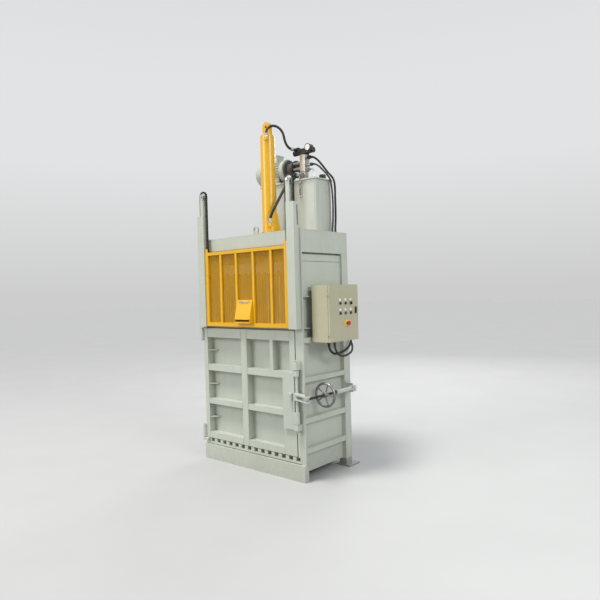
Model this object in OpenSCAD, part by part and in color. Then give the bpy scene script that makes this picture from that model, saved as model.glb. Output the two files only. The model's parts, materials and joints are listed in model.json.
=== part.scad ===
// Vertical recycling baler with a lifting feed gate, a side-hinged bale door and a hydraulic ram.
// Origin: middle of the footprint on the floor. X to the right, Y to the back, Z up. Millimetres.

/* [Body] */
// Width of the body over the side walls
body_w = 1300; // [1290:1:1310]
// Depth of the body from the door face to the rear wall
body_d = 660; // [655:1:670]
// Height of the front sill
sill_h = 141; // [138:1:141]
// Underside of the side walls above the floor
skirt_z = 71; // [65:1:75]
// Top of the body, under the cylinder
body_top = 2157; // [2150:1:2165]
// Thickness of the wall sheet
skin_t = 8; // [6:1:8]
// How far ribs and flanges stand out from the wall sheet
rib_d = 44; // [40:1:46]

/* [Strap channels] */
// Number of strap channels in the floor
channel_n = 14; // [12:1:14]
// Distance from one channel to the next
channel_pitch = 86; // [80:1:86]
// Width of a channel
channel_w = 46; // [40:1:48]

/* [Bale door] */
// Bottom edge of the door
door_z0 = 203; // [202:1:206]
// Top edge of the door
door_z1 = 1290; // [1280:1:1290]
// Width of the fixed lock side, from the door's edge to the side of the body
lock_side = 100; // [98:1:106]
// Thickness of the door
door_t = 80; // [70:1:82]

/* [Gate] */
// Gap between the top of the door and the gate
gate_rise = 24; // [22:1:28]
// Height of the gate
gate_h = 712; // [701:1:716]
// Gap between the gate and each post
gate_gap = 3; // [2:0.5:5]
// Depth of the gate tubes
gate_t = 40; // [38:1:42]
// Rows of openings in the gate mesh
mesh_rows = 24; // [16:1:24]

/* [Gate posts and lifting chains] */
// Width of a gate post
post_w = 90; // [86:1:92]
// Wall of a gate post
post_t = 4; // [3:0.5:5]
// Height of the posts above the body
post_rise = 228; // [220:1:240]
// Height of the chain wheel axles above the posts
wheel_rise = 193; // [186:1:200]
// Distance of the chain wheel axles from the inner face of the posts
axle_in = 22; // [21:0.5:23]
// Roller chain pitch
chain_pitch = 19.05; // [18:0.05:20]
// Links on the half turn over a wheel
arc_links = 7; // [7:1:7]

/* [Hydraulics] */
// Outer diameter of the cylinder
barrel_d = 140; // [134:1:142]
// Bore of the cylinder
bore_d = 118; // [114:1:120]
// Diameter of the piston rod
rod_d = 70; // [60:1:72]
// Top end of the cylinder barrel
barrel_top = 3125; // [3120:1:3130]
// Distance of the cylinder axis in front of the middle
cyl_y = -20; // [-24:1:-18]
// Height of the oil tank
tank_h = 533; // [525:1:540]
// Motor frame diameter
motor_d = 230; // [220:1:234]

/* [Bale lock] */
// Diameter of the handwheel over its rim
wheel_d = 222; // [210:1:224]
// Height of the screw axis
screw_z = 733; // [731:1:735]
// Distance of the screw axis from the side of the body
screw_out = 95; // [93:1:97]

/* [Control cabinet] */
// Cabinet height
cab_h = 485; // [480:1:490]
// Cabinet width, along the side wall
cab_w = 410; // [405:1:412]
// Cabinet depth, door included
cab_d = 190; // [180:1:200]
// Cabinet underside
cab_z = 1190; // [1188:1:1192]

/* [Hidden] */
$fn = 32;
// Paint and material colours
grey = [0.72, 0.74, 0.68];
grey_dark = [0.60, 0.62, 0.57];
yellow = [0.93, 0.66, 0.10];
beige = [0.66, 0.64, 0.53];
steel = [0.62, 0.63, 0.64];
black = [0.07, 0.07, 0.08];
// Main planes of the body
hw = body_w / 2;
fy = -body_d / 2;
by = body_d / 2;
skin_x = hw - rib_d;
in_x = skin_x - skin_t;
// Where the walls step back for the door
step_y = fy + door_t + 8;
step_z = door_z1 + 16;
header_z = body_top - 197;
flange_w = 90;
rib_zs = [[239, 285], [498, 545], [846, 890], [1185, 1230]];
// Base and floor
floor_z = sill_h + 6;
floor_t = 18;
bar_h = 34;
// Posts, chains and wheels
post_out = hw - 18;
post_in = post_out - post_w;
post_front = fy - 60;
post_z0 = step_z;
post_top = body_top + post_rise;
chain_y = fy - 30;
wheel_x = post_in + axle_in;
wheel_z = post_top + wheel_rise;
wheel_r = chain_pitch / 2 / sin(90 / arc_links);
strand_in = wheel_x - wheel_r;
strand_out = wheel_x + wheel_r;
roller_r = 5.9;
weight_z = [post_top - 560, post_top - 60];
run_gap = 0.3;
// Gate
gate_hw = post_in - gate_gap;
gate_z0 = door_z1 + gate_rise;
gate_z1 = gate_z0 + gate_h;
in_links = round((wheel_z - gate_z1 + 20) / chain_pitch);
out_links = floor((wheel_z - post_top + 20) / chain_pitch);
stile_w = 40;
bar_xs = [-322, -109, 114, 338];
rail_lo = 36;
rail_hi = 30;
gate_y0 = chain_y - gate_t / 2;
gate_y1 = chain_y + gate_t / 2;
// Door
door_left = -hw;
door_right = hw - lock_side;
hinge_x = door_left - 18;
hinge_y = fy - 8;
wall_t = 6;
door_rails = [[door_z0, door_z0 + 59], [door_z0 + 340, door_z0 + 390], [door_z0 + 669, door_z0 + 729],
    [door_z1 - 90, door_z1]];
door_stiles = [[door_left, door_left + 52], [door_left + 531, door_left + 605], [door_right - 60, door_right]];
door_bars = concat([for (s = door_stiles) [s[0], s[1], door_z0, door_z1]],
    [for (r = door_rails) [door_left, door_right, r[0], r[1]]],
    [[door_right - 145, door_right, door_z0, door_rails[2][1]],
    [door_right - 297, door_right - 260, door_rails[2][0], door_z1]]);
// Lock
rod_x = hw - 58;
rod_y = fy - 34;
pin_y = fy - 90;
screw_x = hw + screw_out;
fork_zs = [screw_z - 27, screw_z + 15];
fork_t = 12;
lock_zs = [[screw_z - 291, screw_z - 238], [screw_z + 227, screw_z + 292]];
lever_z = [lock_zs[0][1] + 3, lock_zs[1][0] - 3];
wheel_y = -170;
// Power pack
tank_x = [-310, 400];
tank_y = [190, 450];
tank_z = [body_top, body_top + tank_h];
lid_t = 12;
lid_z = tank_z[1] + lid_t;
motor_y = 320;
motor_z = lid_z + motor_d / 2 + 25;
motor_x = [-340, -30];
cowl_x = [motor_x[0] - 62, motor_x[0] + 18];
valve_x = 215;
valve_y = 270;
block_z = [lid_z + 88, lid_z + 248];
// Cabinet
cab_x = hw + 30;
cab_y = -240;
face_x = cab_x + cab_d;
cab_pin = [face_x + 2, cab_y - 3];
knuckle_r = 4;
button_ys = [cab_y + 148, cab_y + 223, cab_y + 298];
button_zs = [cab_z + 325, cab_z + 240];
lock_at = [cab_y + cab_w - 39, cab_z + 261];
stop_at = [cab_y + 242, cab_z + 153];
panel_holes = concat([for (z = button_zs) for (y = button_ys) [y, z]], [stop_at]);

// Box between two X, two Y and two Z planes
module slab(x, y, z) translate([x[0], y[0], z[0]]) cube([x[1] - x[0], y[1] - y[0], z[1] - z[0]]);
// Round bar along X, Y or Z
module bar_x(y, z, x0, x1, r) translate([x0, y, z]) rotate([0, 90, 0]) cylinder(r = r, h = x1 - x0);
module bar_y(x, z, y0, y1, r) translate([x, y1, z]) rotate([90, 0, 0]) cylinder(r = r, h = y1 - y0);
module bar_z(x, y, z0, z1, r) translate([x, y, z0]) cylinder(r = r, h = z1 - z0);
// Outline drawn in X and Z, given thickness along Y
module face_plate(y0, y1) translate([0, y1, 0]) rotate([90, 0, 0]) linear_extrude(y1 - y0) children();
// Both sides, mirrored
module both_sides() {
    children();
    mirror([1, 0, 0]) children();
}
module hex_z(x, y, z, af, h) translate([x, y, z]) cylinder(d = af / cos(30), h = h, $fn = 6);
module hex_y(x, z, y0, y1, af) translate([x, y1, z]) rotate([90, 0, 0]) cylinder(d = af / cos(30), h = y1 - y0, $fn = 6);

// Round tube swept along a route of points
function unit(v) = v / norm(v);
function tangent(p, i) = unit(p[min(i + 1, len(p) - 1)] - p[max(i - 1, 0)]);
function side_of(t) = unit(cross(t, abs(t[1]) < 0.9 ? [0, 1, 0] : [1, 0, 0]));
function spline(p, i, t) = let (a = p[max(i - 1, 0)], b = p[i], c = p[i + 1], d = p[min(i + 2, len(p) - 1)])
    0.5 * (2 * b + (c - a) * t + (2 * a - 5 * b + 4 * c - d) * t * t + (3 * b - a - 3 * c + d) * t * t * t);
function smooth(p, n) = [for (i = [0:len(p) - 2]) for (k = [0:n - 1]) spline(p, i, k / n), p[len(p) - 1]];
function frame_at(q, i, s) = let (t = tangent(q, i)) i == 0 ? side_of(t) : unit(s - (s * t) * t);
function frames(q, i = 0, s = [1, 0, 0], out = []) = i == len(q) ? out
    : let (u = frame_at(q, i, s)) frames(q, i + 1, u, concat(out, [u]));
module sweep(route, r, n = 8, steps = 3) {
    q = smooth(route, steps);
    us = frames(q);
    pts = [for (i = [0:len(q) - 1]) let (v = cross(tangent(q, i), us[i]))
        for (k = [0:n - 1]) q[i] + r * (cos(360 * k / n) * us[i] + sin(360 * k / n) * v)];
    sides = [for (i = [0:len(q) - 2]) for (k = [0:n - 1])
        [i * n + k, i * n + (k + 1) % n, (i + 1) * n + (k + 1) % n, (i + 1) * n + k]];
    ends = [[for (k = [n - 1:-1:0]) k], [for (k = [0:n - 1]) (len(q) - 1) * n + k]];
    polyhedron(points = pts, faces = concat([for (f = sides) [f[3], f[2], f[1], f[0]]],
        [for (e = ends) [for (k = [len(e) - 1:-1:0]) e[k]]]), convexity = 6);
}

// Base
module base_sill() {
    color(grey) difference() {
        slab([-hw, hw], [fy - 20, fy + 30], [0, sill_h]);
        slab([-hw + 8, hw - 8], [fy - 12, fy + 31], [8, sill_h - 8]);
    }
}

rail_ys = [[fy + 30, fy + 80], [-30, 30], [by - 58, by - 8]];
module base_frame() {
    rail_w = 60;
    t = 5;
    color(grey_dark) difference() {
        union() {
            both_sides() slab([in_x - rail_w, in_x], [fy + 30, by - 8], [skirt_z, floor_z]);
            for (y = rail_ys) slab([-in_x + 1, in_x - 1], y, [skirt_z, floor_z]);
        }
        both_sides() slab([in_x - rail_w + t, in_x - t], [fy + 30 + t, by], [skirt_z + t, floor_z - t]);
        for (y = rail_ys) slab([-in_x + t, in_x - t], [y[0] + t, y[1] - t], [skirt_z + t, floor_z - t]);
    }
    // Centre foot that takes the ram's push into the ground
    color(grey_dark) {
        slab([-60, 60], [-60, 60], [0, 12]);
        slab([-30, 30], [-30, 30], [11, skirt_z + 1]);
    }
}

foot_hole = [hw - 35, by + 36];
module rear_feet() {
    color(grey_dark) both_sides() difference() {
        union() {
            slab([hw - 80, hw], [by - 90, by - 8], [12, skirt_z]);
            slab([hw - 110, hw + 40], [by - 100, by + 60], [0, 12]);
        }
        slab([hw - 74, hw - 6], [by - 84, by + 1], [18, skirt_z + 1]);
        bar_z(foot_hole[0], foot_hole[1], -1, 13, 9);
    }
}

function channel_x(i) = (i - (channel_n - 1) / 2) * channel_pitch;
// Bars that leave the strap channels open between them
module channel_bars(x_end, y, z) {
    for (i = [0:channel_n - 2])
        slab([channel_x(i) + channel_w / 2, channel_x(i + 1) - channel_w / 2], y, z);
    both_sides() slab([channel_x(channel_n - 1) + channel_w / 2, x_end], y, z);
}

module chamber_floor() {
    color(grey) {
        slab([-in_x, in_x], [fy, by - 8], [floor_z, floor_z + floor_t]);
        channel_bars(in_x, [fy, by - 8], [floor_z + floor_t - 1, floor_z + floor_t + bar_h]);
    }
}

// Side wall, drawn on the right
module side_wall() {
    t = 5;
    difference() {
        union() {
            slab([in_x, skin_x], [step_y, by], [skirt_z, header_z]);
            slab([in_x, skin_x], [fy, step_y + 1], [step_z, header_z]);
            slab([in_x, skin_x], [fy + 30, step_y + 1], [skirt_z, sill_h]);
            slab([skin_x - 1, hw], [fy, fy + 14], [step_z, header_z]);
            slab([skin_x - 1, hw], [by - flange_w, by], [skirt_z, header_z]);
            for (z = rib_zs) slab([skin_x - 1, hw], [step_y, by - flange_w + 1], z);
        }
        slab([skin_x, hw - t], [by - flange_w + t, by - t], [skirt_z - 1, header_z - t]);
        for (z = rib_zs) slab([skin_x, hw - t], [step_y + t, by - flange_w + 2 * t], [z[0] + t, z[1] - t]);
    }
    // Upper panel, proud of the sheet, with a lip below and a seam near its top
    slab([skin_x + 16, skin_x + 24], [fy + 13, by - flange_w + 1], [header_z - 377, header_z - 77]);
    slab([skin_x + 16, skin_x + 24], [fy + 13, by - flange_w + 1], [header_z - 73, header_z - 15]);
    slab([skin_x - 1, hw - 6], [fy + 13, by - flange_w + 1], [header_z - 385, header_z - 376]);
    slab([skin_x - 1, skin_x + 17], [fy + 13, by - flange_w + 1], [header_z - 100, header_z - 50]);
    slab([skin_x - 1, hw], [fy + 13, by - flange_w + 1], [step_z, step_z + 6]);
}

module left_wall() {
    color(grey) mirror([1, 0, 0]) side_wall();
}
module right_wall() {
    color(grey) side_wall();
}

slot_z = [230, header_z - 60];
// Sheet with strap slots and a folded rib on each strip between them
module rear_wall() {
    slot_w = 22;
    t = 4;
    ribs = [for (i = [1:channel_n - 3]) (channel_x(i) + channel_x(i + 1)) / 2];
    color(grey) difference() {
        union() {
            slab([-in_x, in_x], [by - 8, by], [skirt_z, header_z]);
            for (x = ribs) slab([x - 20, x + 20], [by - 1, by + 30], [floor_z, slot_z[1] + 40]);
        }
        for (i = [2:channel_n - 3]) slab([channel_x(i) - slot_w / 2, channel_x(i) + slot_w / 2], [by - 9, by + 1], slot_z);
        for (x = ribs) slab([x - 20 + t, x + 20 - t], [by, by + 30 - t], [floor_z - 1, slot_z[1] + 41]);
    }
}

// Front corner post that carries the lock: folded channel open to the side, with rib ends
post_x = door_right + 11;
floor_top = floor_z + floor_t + bar_h;
module lock_post() {
    color(grey) difference() {
        union() {
            slab([post_x, hw], [fy, fy + 12], [floor_top, step_z]);
            slab([post_x, post_x + 12], [fy, step_y], [floor_top, step_z]);
            slab([in_x, skin_x], [fy, step_y], [sill_h, step_z]);
            slab([in_x, hw], [fy, fy + 12], [sill_h, floor_top + 1]);
            for (z = rib_zs) slab([post_x + 11, hw], [fy + 11, step_y], z);
            for (z = lock_zs) slab([rod_x - 22, rod_x + 23], [rod_y - 24, fy + 1], z);
        }
        bar_z(rod_x, rod_y, lock_zs[0][0] - 1, lock_zs[1][1] + 1, 12);
    }
}

module top_frame() {
    t = 6;
    color(grey) difference() {
        union() {
            both_sides() slab([in_x, hw], [fy, by], [header_z, body_top - 12]);
            slab([-in_x - 1, in_x + 1], [fy, fy + 50], [body_top - 123, body_top - 12]);
            slab([-in_x - 1, in_x + 1], [by - 50, by], [header_z, body_top - 12]);
        }
        both_sides() slab([in_x + t, hw - t], [fy + t, by + 1], [header_z + t, body_top - 12 - t]);
        slab([-in_x - t - 1, in_x + t + 1], [fy + t, fy + 50 - t], [body_top - 123 + t, body_top - 12 - t]);
        slab([-in_x - t - 1, in_x + t + 1], [by - 50 + t, by - t], [header_z + t, body_top - 12 - t]);
    }
    // Rail under the feed opening
    color(grey) slab([-in_x, post_x], [fy + 20, fy + 60], [door_z1 + 4, door_z1 + 22]);
}

// Top plate with the two beams that carry the cylinder
module top_deck() {
    beam_ys = [[cyl_y - 130, cyl_y - 70], [cyl_y + 70, cyl_y + 130]];
    lug = [-290, cyl_y + 100];
    color(grey) difference() {
        union() {
            slab([-hw, hw], [fy, by], [body_top - 12, body_top]);
            for (y = beam_ys) slab([-in_x, in_x], y, [body_top - 145, body_top - 11]);
            slab([tank_x[0] + 50, tank_x[1] - 40], [by - 1, by + 110], [body_top - 12, body_top]);
            for (x = [tank_x[0] + 70, 40, tank_x[1] - 80]) slab([x, x + 12], [by, by + 100], [body_top - 107, body_top - 11]);
            // Lifting lug
            slab([lug[0] - 35, lug[0] + 35], [lug[1] - 8, lug[1] + 8], [body_top - 1, body_top + 105]);
            bar_y(lug[0], body_top + 105, lug[1] - 8, lug[1] + 8, 35);
        }
        bar_y(lug[0], body_top + 105, lug[1] - 9, lug[1] + 9, 20);
        for (y = beam_ys) slab([-in_x - 1, in_x + 1], [y[0] + 6, y[1] - 6], [body_top - 139, body_top - 18]);
        bar_z(0, cyl_y, body_top - 20, body_top + 1, rod_d / 2 + 12);
    }
}

// Gate post, drawn on the right: square tube with ears that carry the chain wheel
module gate_post() {
    ear_x = [wheel_x - 21, wheel_x + 21];
    difference() {
        union() {
            difference() {
                slab([post_in, post_out], [post_front, fy], [post_z0, post_top]);
                slab([post_in + post_t, post_out - post_t], [post_front + post_t, fy - post_t],
                    [post_z0 + post_t, post_top + 1]);
                slab([post_out - post_t - 1, post_out + 1], [fy - 20, fy - 8], [post_top - 195, post_top - 25]);
            }
            for (y = [[post_front + post_t, post_front + post_t + 8], [fy - post_t - 8, fy - post_t]]) {
                slab([ear_x[0] + 1, ear_x[1]], [y[0] - 0.5, y[1] + 0.5], [post_top - 40, wheel_z]);
                bar_y(wheel_x, wheel_z, y[0] - 0.5, y[1] + 0.5, 21);
            }
        }
        bar_y(wheel_x, wheel_z, post_front - 1, fy + 1, 8);
    }
}
module left_gate_post() {
    color(grey) mirror([1, 0, 0]) gate_post();
}
module right_gate_post() {
    color(grey) gate_post();
}

module wheel_axles() {
    color(steel) both_sides() {
        bar_y(wheel_x, wheel_z, post_front - 6, fy + 8, 8);
        hex_y(wheel_x, wheel_z, post_front - 7, post_front + 3, 24);
        hex_y(wheel_x, wheel_z, fy - 3, fy + 10, 24);
    }
}

// Chain wheel, drawn on the right
module chain_wheel() {
    difference() {
        union() {
            bar_y(wheel_x, wheel_z, chain_y - 4.8, chain_y + 4.8, wheel_r - roller_r - 0.5);
            bar_y(wheel_x, wheel_z, chain_y - 16, chain_y + 16, 17);
        }
        bar_y(wheel_x, wheel_z, chain_y - 20, chain_y + 20, 8.3);
    }
}
module left_chain_wheel() {
    color(steel) mirror([1, 0, 0]) chain_wheel();
}
module right_chain_wheel() {
    color(steel) chain_wheel();
}

// One chain link between two pins, lying along +X from the first pin, outer or inner plates
module link(outer) {
    y0 = outer ? 8.2 : 6.2;
    for (s = [-1, 1]) translate([0, s * y0, 0]) rotate([90, 0, 0]) translate([0, 0, -1]) linear_extrude(2) {
        circle(r = 8.6, $fn = 12);
        translate([chain_pitch, 0]) circle(r = 8.6, $fn = 12);
        translate([0, -6]) square([chain_pitch, 12]);
    }
    bar_y(0, 0, -11, 11, 3);
    bar_y(0, 0, -6, 6, roller_r, $fn = 12);
}
// Pin positions: up the inner strand, over the wheel, down the outer strand
function arc_pin(k) = let (a = 180 - k * 180 / arc_links) [wheel_x + wheel_r * cos(a), wheel_z + wheel_r * sin(a)];
pins = concat([for (k = [in_links:-1:1]) [strand_in, wheel_z - k * chain_pitch]],
    [for (k = [0:arc_links]) arc_pin(k)],
    [for (k = [1:out_links]) [strand_out, wheel_z - k * chain_pitch]]);
module chain() {
    for (i = [0:len(pins) - 2]) {
        step = pins[i + 1] - pins[i];
        translate([pins[i][0], chain_y, pins[i][1]]) rotate([0, -atan2(step[1], step[0]), 0]) link(i % 2 == 0);
    }
    // Rest of the outer strand, out of sight in the post
    slab([strand_out - 6, strand_out + 6], [chain_y - 5.5, chain_y + 5.5], [weight_z[0] - 10, wheel_z - (out_links - 0.3) * chain_pitch]);
}
module left_chain() {
    color(black) mirror([1, 0, 0]) chain();
}
module right_chain() {
    color(black) chain();
}

// Counterweight in the post, bored for the chain
module counterweight() {
    difference() {
        slab([post_in + post_t + run_gap, post_out - post_t - run_gap],
            [post_front + post_t + run_gap, fy - post_t - run_gap], weight_z);
        slab([strand_out - 9, strand_out + 9], [chain_y - 7, chain_y + 7], [weight_z[0] - 1, weight_z[1] + 1]);
    }
}
module left_counterweight() {
    color(steel) mirror([1, 0, 0]) counterweight();
}
module right_counterweight() {
    color(steel) counterweight();
}

// Gate
module gate_frame() {
    t = 2.5;
    color(yellow) difference() {
        union() {
            both_sides() slab([gate_hw - stile_w, gate_hw], [gate_y0, gate_y1], [gate_z0, gate_z1]);
            slab([-gate_hw + 1, gate_hw - 1], [gate_y0, gate_y1], [gate_z0, gate_z0 + rail_lo]);
            slab([-gate_hw + stile_w - 1, gate_hw - stile_w + 1], [gate_y0, gate_y1 - 8], [gate_z1 - rail_hi, gate_z1]);
            for (x = bar_xs) slab([x - 13, x + 13], [gate_y0 + 2, gate_y0 + 20], [gate_z0 + 1, gate_z1 - 1]);
            // Guide pads that run along the posts
            both_sides() for (z = [gate_z0 + 40, gate_z1 - 100])
                slab([gate_hw - 1, post_in - run_gap], [gate_y0 + 8, gate_y1 - 8], [z, z + 60]);
            // Ears either side of the chain
            both_sides() for (y = [[gate_y0, gate_y0 + 5], [gate_y1 - 5, gate_y1]])
                slab([gate_hw - stile_w + 4, gate_hw - 4], y, [gate_z1 - 1, gate_z1 + 34]);
        }
        // The stiles are open at the top, so the chain runs down inside as the gate rises
        both_sides() slab([gate_hw - stile_w + t, gate_hw - t], [gate_y0 + t, gate_y1 - t], [gate_z0 + 150, gate_z1 + 1]);
    }
}

// Sheet between the stiles with long openings
module gate_mesh() {
    edges = concat([-gate_hw + stile_w], bar_xs, [gate_hw - stile_w]);
    y = [gate_y0 + 20, gate_y0 + 23];
    z0 = gate_z0 + rail_lo;
    z1 = gate_z1 - rail_hi;
    pitch = (z1 - z0) / mesh_rows;
    color(yellow) difference() {
        slab([edges[0], edges[5]], y, [z0, z1]);
        for (i = [0:4]) for (k = [0:mesh_rows - 1])
            slab([edges[i] + 20, edges[i + 1] - 20], [y[0] - 1, y[1] + 1],
                [z0 + (k + 0.25) * pitch, z0 + (k + 0.75) * pitch]);
    }
}

// Handle pocket: a plate leaning out at the bottom, with cheeks and a lower lip
pocket_x = [bar_xs[1] + 13, bar_xs[2] - 13];
module gate_handle() {
    back = gate_y0 + 20;
    lip_z = gate_z0 + rail_lo;
    low = lip_z + 34;
    high = lip_z + 212;
    lean = [[back, high], [back, high - 5], [gate_y0, high - 5], [gate_y0 - 40, low], [gate_y0 - 44, low], [gate_y0 - 2, high]];
    cheek = [[back, high - 2], [gate_y0, high - 2], [gate_y0 - 42, low], [gate_y0 - 42, lip_z + 2], [back, lip_z + 2]];
    color(yellow) {
        translate([pocket_x[0], 0, 0]) rotate([90, 0, 90]) linear_extrude(pocket_x[1] - pocket_x[0]) polygon(lean);
        for (x = [pocket_x[0], pocket_x[1] - 4])
            translate([x, 0, 0]) rotate([90, 0, 90]) linear_extrude(4) polygon(cheek);
        slab(pocket_x, [gate_y0 - 44, back], [lip_z, lip_z + 6]);
        slab(pocket_x, [gate_y0 - 44, gate_y0 - 40], [lip_z, lip_z + 14]);
        for (x = [pocket_x[0] + 35, pocket_x[1] - 35]) hex_y(x, high - 17, gate_y0 - 12, gate_y0, 13);
    }
}

// Bale door
module door_frame() {
    y0 = fy;
    y1 = fy + door_t - 8;
    color(grey) difference() {
        union() {
            for (b = door_bars) slab([b[0], b[1]], [y0, y1], [b[2], b[3]]);
            // Gussets at the hinge side, one in each row
            for (i = [0:2]) translate([door_stiles[0][1] - 1, 0, (door_rails[i][1] + door_rails[i + 1][0]) / 2]) linear_extrude(10)
                polygon([[0, y0 + 4], [0, y1], [79, y1], [79, y1 - 12]]);
            // Hinge barrels on short leaves
            for (z = [[door_z0 + 3, door_z0 + 127], [door_z1 - 125, door_z1 - 3]]) {
                bar_z(hinge_x, hinge_y, z[0], z[1], 19);
                slab([hinge_x, door_left + 1], [hinge_y - 2, hinge_y + 17], z);
            }
        }
        for (b = door_bars) slab([b[0] + wall_t, b[1] - wall_t], [y0 + wall_t, y1 - wall_t], [b[2] + wall_t, b[3] - wall_t]);
        for (s = door_stiles) slab([s[0] + wall_t, s[1] - wall_t], [y0 + wall_t, y1 - wall_t], [door_z0 - 1, door_z0 + 20]);
        bar_z(hinge_x, hinge_y, door_z0 - 1, door_z1 + 1, 12.3);
    }
}

module door_skin() {
    color(grey) slab([door_left + 12, door_right - 12], [fy + door_t - 8, fy + door_t], [door_z0 + 4, door_z1 - 4]);
}

// Plate on the lock side of the door, with the two fingers that the fork closes beside
module striker_plate() {
    x = [door_right - 129, door_right - 2];
    z0 = door_rails[1][0] - 85;
    color(grey) {
        slab(x, [fy - 24, fy], [z0, door_rails[2][1]]);
        bar_y(x[1] - 20, z0, fy - 24, fy, 20);
        slab([x[0], x[1] - 20], [fy - 24, fy], [z0 - 20, z0 + 1]);
        for (z = fork_zs) slab([x[1] - 45, x[1]], [fy - 62, fy - 23], [z, z + fork_t]);
    }
}

module hinge_brackets() {
    color(grey) difference() {
        union() {
            slab([-hw, -in_x - 1], [fy + 31, step_y - 2], [floor_z, door_z0 - 3]);
            slab([-hw, -in_x - 1], [fy, fy + 32], [sill_h, door_z0 - 3]);
            slab([hinge_x, -in_x - 1], [hinge_y - 20, fy + 30], [door_z0 - 21, door_z0 - 3]);
            bar_z(hinge_x, hinge_y, door_z0 - 21, door_z0 - 3, 20);
            slab([hinge_x, -in_x - 1], [hinge_y - 20, step_y - 2], [door_z1 + 3, post_z0]);
            bar_z(hinge_x, hinge_y, door_z1 + 3, post_z0, 20);
        }
        bar_z(hinge_x, hinge_y, door_z0 - 22, post_z0 + 1, 12);
    }
}

module hinge_pins() {
    color(steel) for (z = [[door_z0 - 30, door_z0 + 97], [door_z1 - 95, post_z0 + 10]]) bar_z(hinge_x, hinge_y, z[0], z[1], 12);
}

// Lock
module lock_rod() {
    color(grey) {
        bar_z(rod_x, rod_y, lock_zs[0][0] - 12, lock_zs[1][1] + 15, 12);
        bar_z(rod_x, rod_y, lock_zs[1][1] + 9, lock_zs[1][1] + 19, 17);
        bar_z(rod_x, rod_y, lock_zs[0][0] - 18, lock_zs[0][0] - 8, 17);
    }
}

fork_a = atan2(pin_y - rod_y, screw_x - rod_x);
fork_len = norm([screw_x - rod_x, pin_y - rod_y]);
module latch_lever() {
    sleeves = [[lever_z[0], lever_z[0] + 102], [screw_z - 33, screw_z + 33], [lever_z[1] - 51, lever_z[1]]];
    color(grey) difference() {
        union() {
            for (z = sleeves) bar_z(rod_x, rod_y, z[0], z[1], 22);
            slab([rod_x - 30, rod_x - 19], [rod_y - 14, rod_y + 14], lever_z);
            for (z = sleeves) slab([rod_x - 30, rod_x], [rod_y - 14, rod_y + 14], z);
            for (z = fork_zs) translate([rod_x, rod_y, z]) rotate([0, 0, fork_a]) linear_extrude(fork_t) {
                polygon([[0, -24], [fork_len + 14, -22], [fork_len + 14, 22], [0, 24]]);
                translate([fork_len + 14, 0]) circle(r = 22);
            }
        }
        bar_z(rod_x, rod_y, lever_z[0] - 1, lever_z[1] + 1, 12.3);
        // Slots in which the pin slides as the lever swings
        translate([rod_x, rod_y, screw_z - 43]) rotate([0, 0, fork_a]) linear_extrude(90) {
            translate([fork_len - 2, -9.5]) square([22, 19]);
            for (x = [-2, 20]) translate([fork_len + x, 0]) circle(r = 9.5);
        }
    }
}

module screw_swivel() {
    color(steel) difference() {
        union() {
            slab([screw_x - 15, screw_x + 15], [pin_y - 18, pin_y + 18], [screw_z - 13, screw_z + 13]);
            bar_z(screw_x, pin_y, screw_z - 37, screw_z + 37, 7);
            for (z = [screw_z - 37, screw_z + 33]) bar_z(screw_x, pin_y, z, z + 5, 11);
        }
        bar_y(screw_x, screw_z, pin_y - 1, pin_y + 19, 6.3);
    }
}

screw_r = 11;
screw_end = 170;
module screw_rod() {
    color(black) {
        bar_y(screw_x, screw_z, pin_y, pin_y + 20, 6);
        bar_y(screw_x, screw_z, pin_y + 19, screw_end, screw_r);
    }
}

module handwheel() {
    rim_r = 11;
    color(steel) translate([screw_x, wheel_y, screw_z]) rotate([90, 0, 0]) difference() {
        union() {
            rotate_extrude($fn = 48) translate([wheel_d / 2 - rim_r, 0]) circle(r = rim_r, $fn = 16);
            for (a = [18:72:359]) rotate([90, 0, a]) cylinder(r = 7, h = wheel_d / 2 - rim_r, $fn = 16);
            translate([0, 0, -24]) cylinder(r = 25, h = 48);
        }
        translate([0, 0, -30]) cylinder(r = screw_r, h = 60);
    }
}

// Tube with the nut for the screw, held by an eye on the rear flange
module screw_bracket() {
    eye_y = by - 105;
    color(grey) difference() {
        union() {
            bar_y(screw_x, screw_z, -20, eye_y, 19);
            bar_y(screw_x, screw_z, -22, 10, 24);
            bar_x(eye_y, screw_z, screw_x - 14, screw_x + 14, 27);
            slab([hw, screw_x - 14], [by - 84, by - 74], [screw_z - 40, screw_z + 40]);
            for (x = [screw_x - 24, screw_x + 15]) slab([x, x + 9], [eye_y - 20, by - 74], [screw_z - 26, screw_z + 26]);
            slab([screw_x - 24, screw_x + 24], [by - 84, by - 74], [screw_z - 26, screw_z + 26]);
            slab([hw, hw + 10], [by - 84, by - 10], [screw_z - 50, screw_z + 50]);
        }
        bar_y(screw_x, screw_z, -23, screw_end + 30, screw_r + 0.5);
    }
    color(black) bar_x(eye_y, screw_z, screw_x - 30, screw_x + 30, 9);
}

// Ram
platen_z = header_z - 170;
module platen() {
    x_end = in_x - 10;
    y = [step_y + 8, by - 18];
    z0 = platen_z;
    color(grey_dark) difference() {
        union() {
            slab([-x_end, x_end], y, [z0 + 24, z0 + 44]);
            channel_bars(x_end, y, [z0, z0 + 25]);
            difference() {
                slab([-x_end, x_end], y, [z0 + 43, z0 + 110]);
                slab([-x_end + 12, x_end - 12], [y[0] + 12, y[1] - 12], [z0 + 40, z0 + 111]);
            }
            for (x = [-300, 0, 300]) slab([x - 6, x + 6], [y[0] + 1, y[1] - 1], [z0 + 43, z0 + 110]);
            bar_z(0, cyl_y, z0 + 43, z0 + 140, rod_d / 2 + 35);
        }
        bar_z(0, cyl_y, z0 + 60, z0 + 141, rod_d / 2 + 0.2);
    }
}

module piston_rod() {
    color(steel) {
        bar_z(0, cyl_y, platen_z + 60, barrel_top - 65, rod_d / 2);
        bar_z(0, cyl_y, barrel_top - 125, barrel_top - 61, bore_d / 2 - 0.4);
    }
}

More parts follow.
